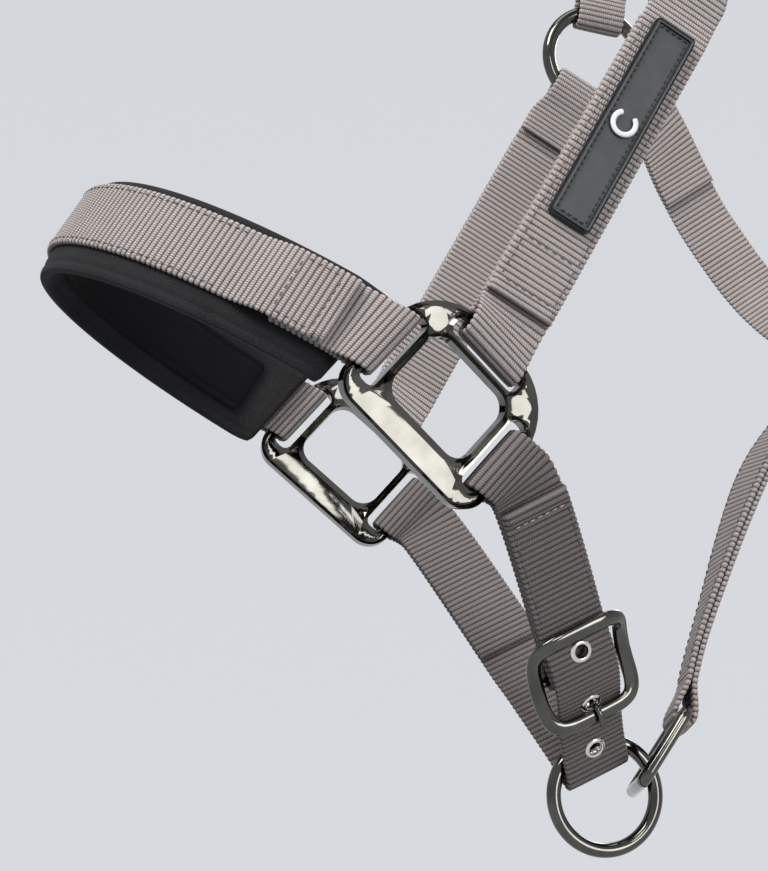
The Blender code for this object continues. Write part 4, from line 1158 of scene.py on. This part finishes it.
def build_snap():
    def at(e, h, w=0.0):
        return side_ring(NEAR) + e * THROAT_WAY - h * SIDE + w * THROAT_ACROSS

    lane = SNAP_AXIS_OUT
    bend = [at(21.5 - lane * math.sin(a), -lane * math.cos(a)) for a in (math.pi * k / 30 for k in range(31))]
    path = spline([at(43, 2.4), at(39, 0.8), at(34, -3.4), at(28, -6.2)], 8) + bend + [at(23.6, lane)]
    points, faces = tube(path, (2.1, 2.1), ups=[THROAT_ACROSS] * len(path), sides=20)
    hook = piece("snap_hook_cast", points, faces, "snap", "gunmetal", ("snap_hook",), METAL)
    barrel = [(4.2, 36), (4.9, 36.3), (5.2, 37), (5.2, 39), (4.95, 39.4), (5.2, 39.8), (5.2, 62.0),
              (4.9, 63.2), (4.2, 64)]
    boolean(hook, *turned(at(0, lane), THROAT_WAY, barrel, 40), "UNION")
    boolean(hook, *turned(at(0, lane), THROAT_WAY, [(2.55, 33), (2.55, 60)], 32), "DIFFERENCE")
    boolean(hook, *turned(at(0, lane), THROAT_WAY, [(1.95, 59), (1.95, 66)], 32), "DIFFERENCE")
    slot = block(at(46.2, lane + 5), (6.0 * THROAT_WAY, 1.8 * THROAT_ACROSS, 3.6 * SIDE))
    boolean(hook, *slot, "DIFFERENCE")
    resmooth(hook, 35)
    rod = [(0.8, 24.0), (1.7, 24.2), (2.2, 24.9), (2.2, 46)]
    bolt = piece("snap_bolt_turned", *turned(at(0, lane), THROAT_WAY, rod, 28), "bolt", "bright_nickel",
                 ("snap_bolt",), BRIGHT)
    stud = [(1.4, 0.6), (1.4, 6.0), (2.5, 6.3), (2.9, 6.9), (2.9, 7.5), (2.5, 8.1), (1.2, 8.4)]
    boolean(bolt, *turned(at(42, lane), -SIDE, stud, 28), "UNION")
    resmooth(bolt, 35)
    build_spring(at, lane)
    head = [(2.0, 57.6), (2.2, 58.0), (2.2, 59.6), (1.6, 59.6), (1.6, 64.4), (2.9, 64.5),
            (3.2, 64.9), (3.2, 66.3), (2.8, 67.0), (2.2, 69)]
    eye = piece("snap_eye_cast", *turned(at(0, lane), THROAT_WAY, head, 32), "headcollar", "gunmetal",
                ("snap_eye",), METAL)
    shape = rounded((69.0, -15.6), (79.0, 15.6), (4.0,) * 4, arc=10)
    wire = tube([at(e, lane, w) for e, w in shape], (SNAP_EYE_WIRE,) * 2, True, [SIDE] * len(shape), 20)
    boolean(eye, *wire, "UNION")
    resmooth(eye, 35)


# ---- stage, light and camera ----

def build_stage():
    """Seamless floor that curves up into a wall all round."""
    pale = plain_stage("pale_paper", (0.69, 0.705, 0.735))
    floor, flat, curve, tall = -0.80, 2.6, 1.6, 5.0
    profile = [(0.02, floor), (flat / 2, floor)]
    profile += [(flat + curve * math.sin(a), floor + curve * (1 - math.cos(a)))
                for a in (math.pi / 2 * k / 16 for k in range(17))]
    profile.append((flat + curve, tall))
    points, faces = turned(Vector(), Vector((0, 0, 1)), profile, 96)
    mesh = bpy.data.meshes.new("floor")
    mesh.from_pydata([tuple(point) for point in points], [], faces[:-1])
    mesh.shade_smooth()
    mesh.materials.append(pale)
    made = bpy.data.objects.new("floor", mesh)
    bpy.context.scene.collection.objects.link(made)
    made.visible_shadow = False
    made.visible_diffuse = False


def area(name, place, target, size, power, colour=(1.0, 1.0, 1.0)):
    lamp = bpy.data.lights.new(name, "AREA")
    lamp.shape = "RECTANGLE"
    lamp.size, lamp.size_y = size
    lamp.energy = power
    lamp.color = colour
    made = bpy.data.objects.new(name, lamp)
    made.location = place
    made.rotation_mode = "QUATERNION"
    made.rotation_quaternion = (Vector(target) - Vector(place)).to_track_quat("-Z", "Y")
    bpy.context.scene.collection.objects.link(made)


def build_lights():
    scene = bpy.context.scene
    scene.view_settings.view_transform = "Standard"
    scene.world = bpy.data.worlds.new("studio")
    scene.world.use_nodes = True
    back = scene.world.node_tree.nodes["Background"]
    back.inputs["Color"].default_value = (0.83, 0.87, 0.93, 1.0)
    back.inputs["Strength"].default_value = 0.34
    middle = (-0.13, 0.0, -0.40)
    area("key", (-1.1, -0.95, 1.15), middle, (0.9, 0.9), 46.0, (1.0, 0.985, 0.96))
    area("front_card", (0.56, -1.39, -0.38), middle, (0.5, 0.7), 10.0)
    area("upper_card", (-0.09, -1.4, 0.08), middle, (0.34, 0.3), 3.0)
    area("rim", (0.9, 1.2, 0.5), middle, (0.7, 0.7), 12.0)
    area("top", (-0.1, -0.1, 1.2), middle, (1.2, 0.8), 9.0)


def build_camera():
    azimuth, elevation = math.radians(-14.2), math.radians(-9.1)
    back = Vector((math.sin(azimuth) * math.cos(elevation), -math.cos(azimuth) * math.cos(elevation),
                   math.sin(elevation)))
    right = Vector((math.cos(azimuth), math.sin(azimuth), 0.0))
    camera = bpy.data.cameras.new("camera")
    camera.lens = 73.6
    camera.clip_start = 0.01
    made = bpy.data.objects.new("camera", camera)
    turn = Matrix((right, back.cross(right), back)).transposed().to_4x4()
    turn.translation = (-0.29169, -0.6044, -0.51783)
    made.matrix_world = turn
    bpy.context.scene.collection.objects.link(made)
    bpy.context.scene.camera = made


build_camera()
build_stage()
build_lights()
for name, side in (("near_square", NEAR), ("far_square", FAR)):
    build_square(name, side)
build_rings()
build_noseband()
near_cheek = build_cheek("near", NEAR)
build_cheek("far", FAR)
build_badge(near_cheek)
build_chin()
build_crown()
build_throat()
build_jowl()
build_snap()
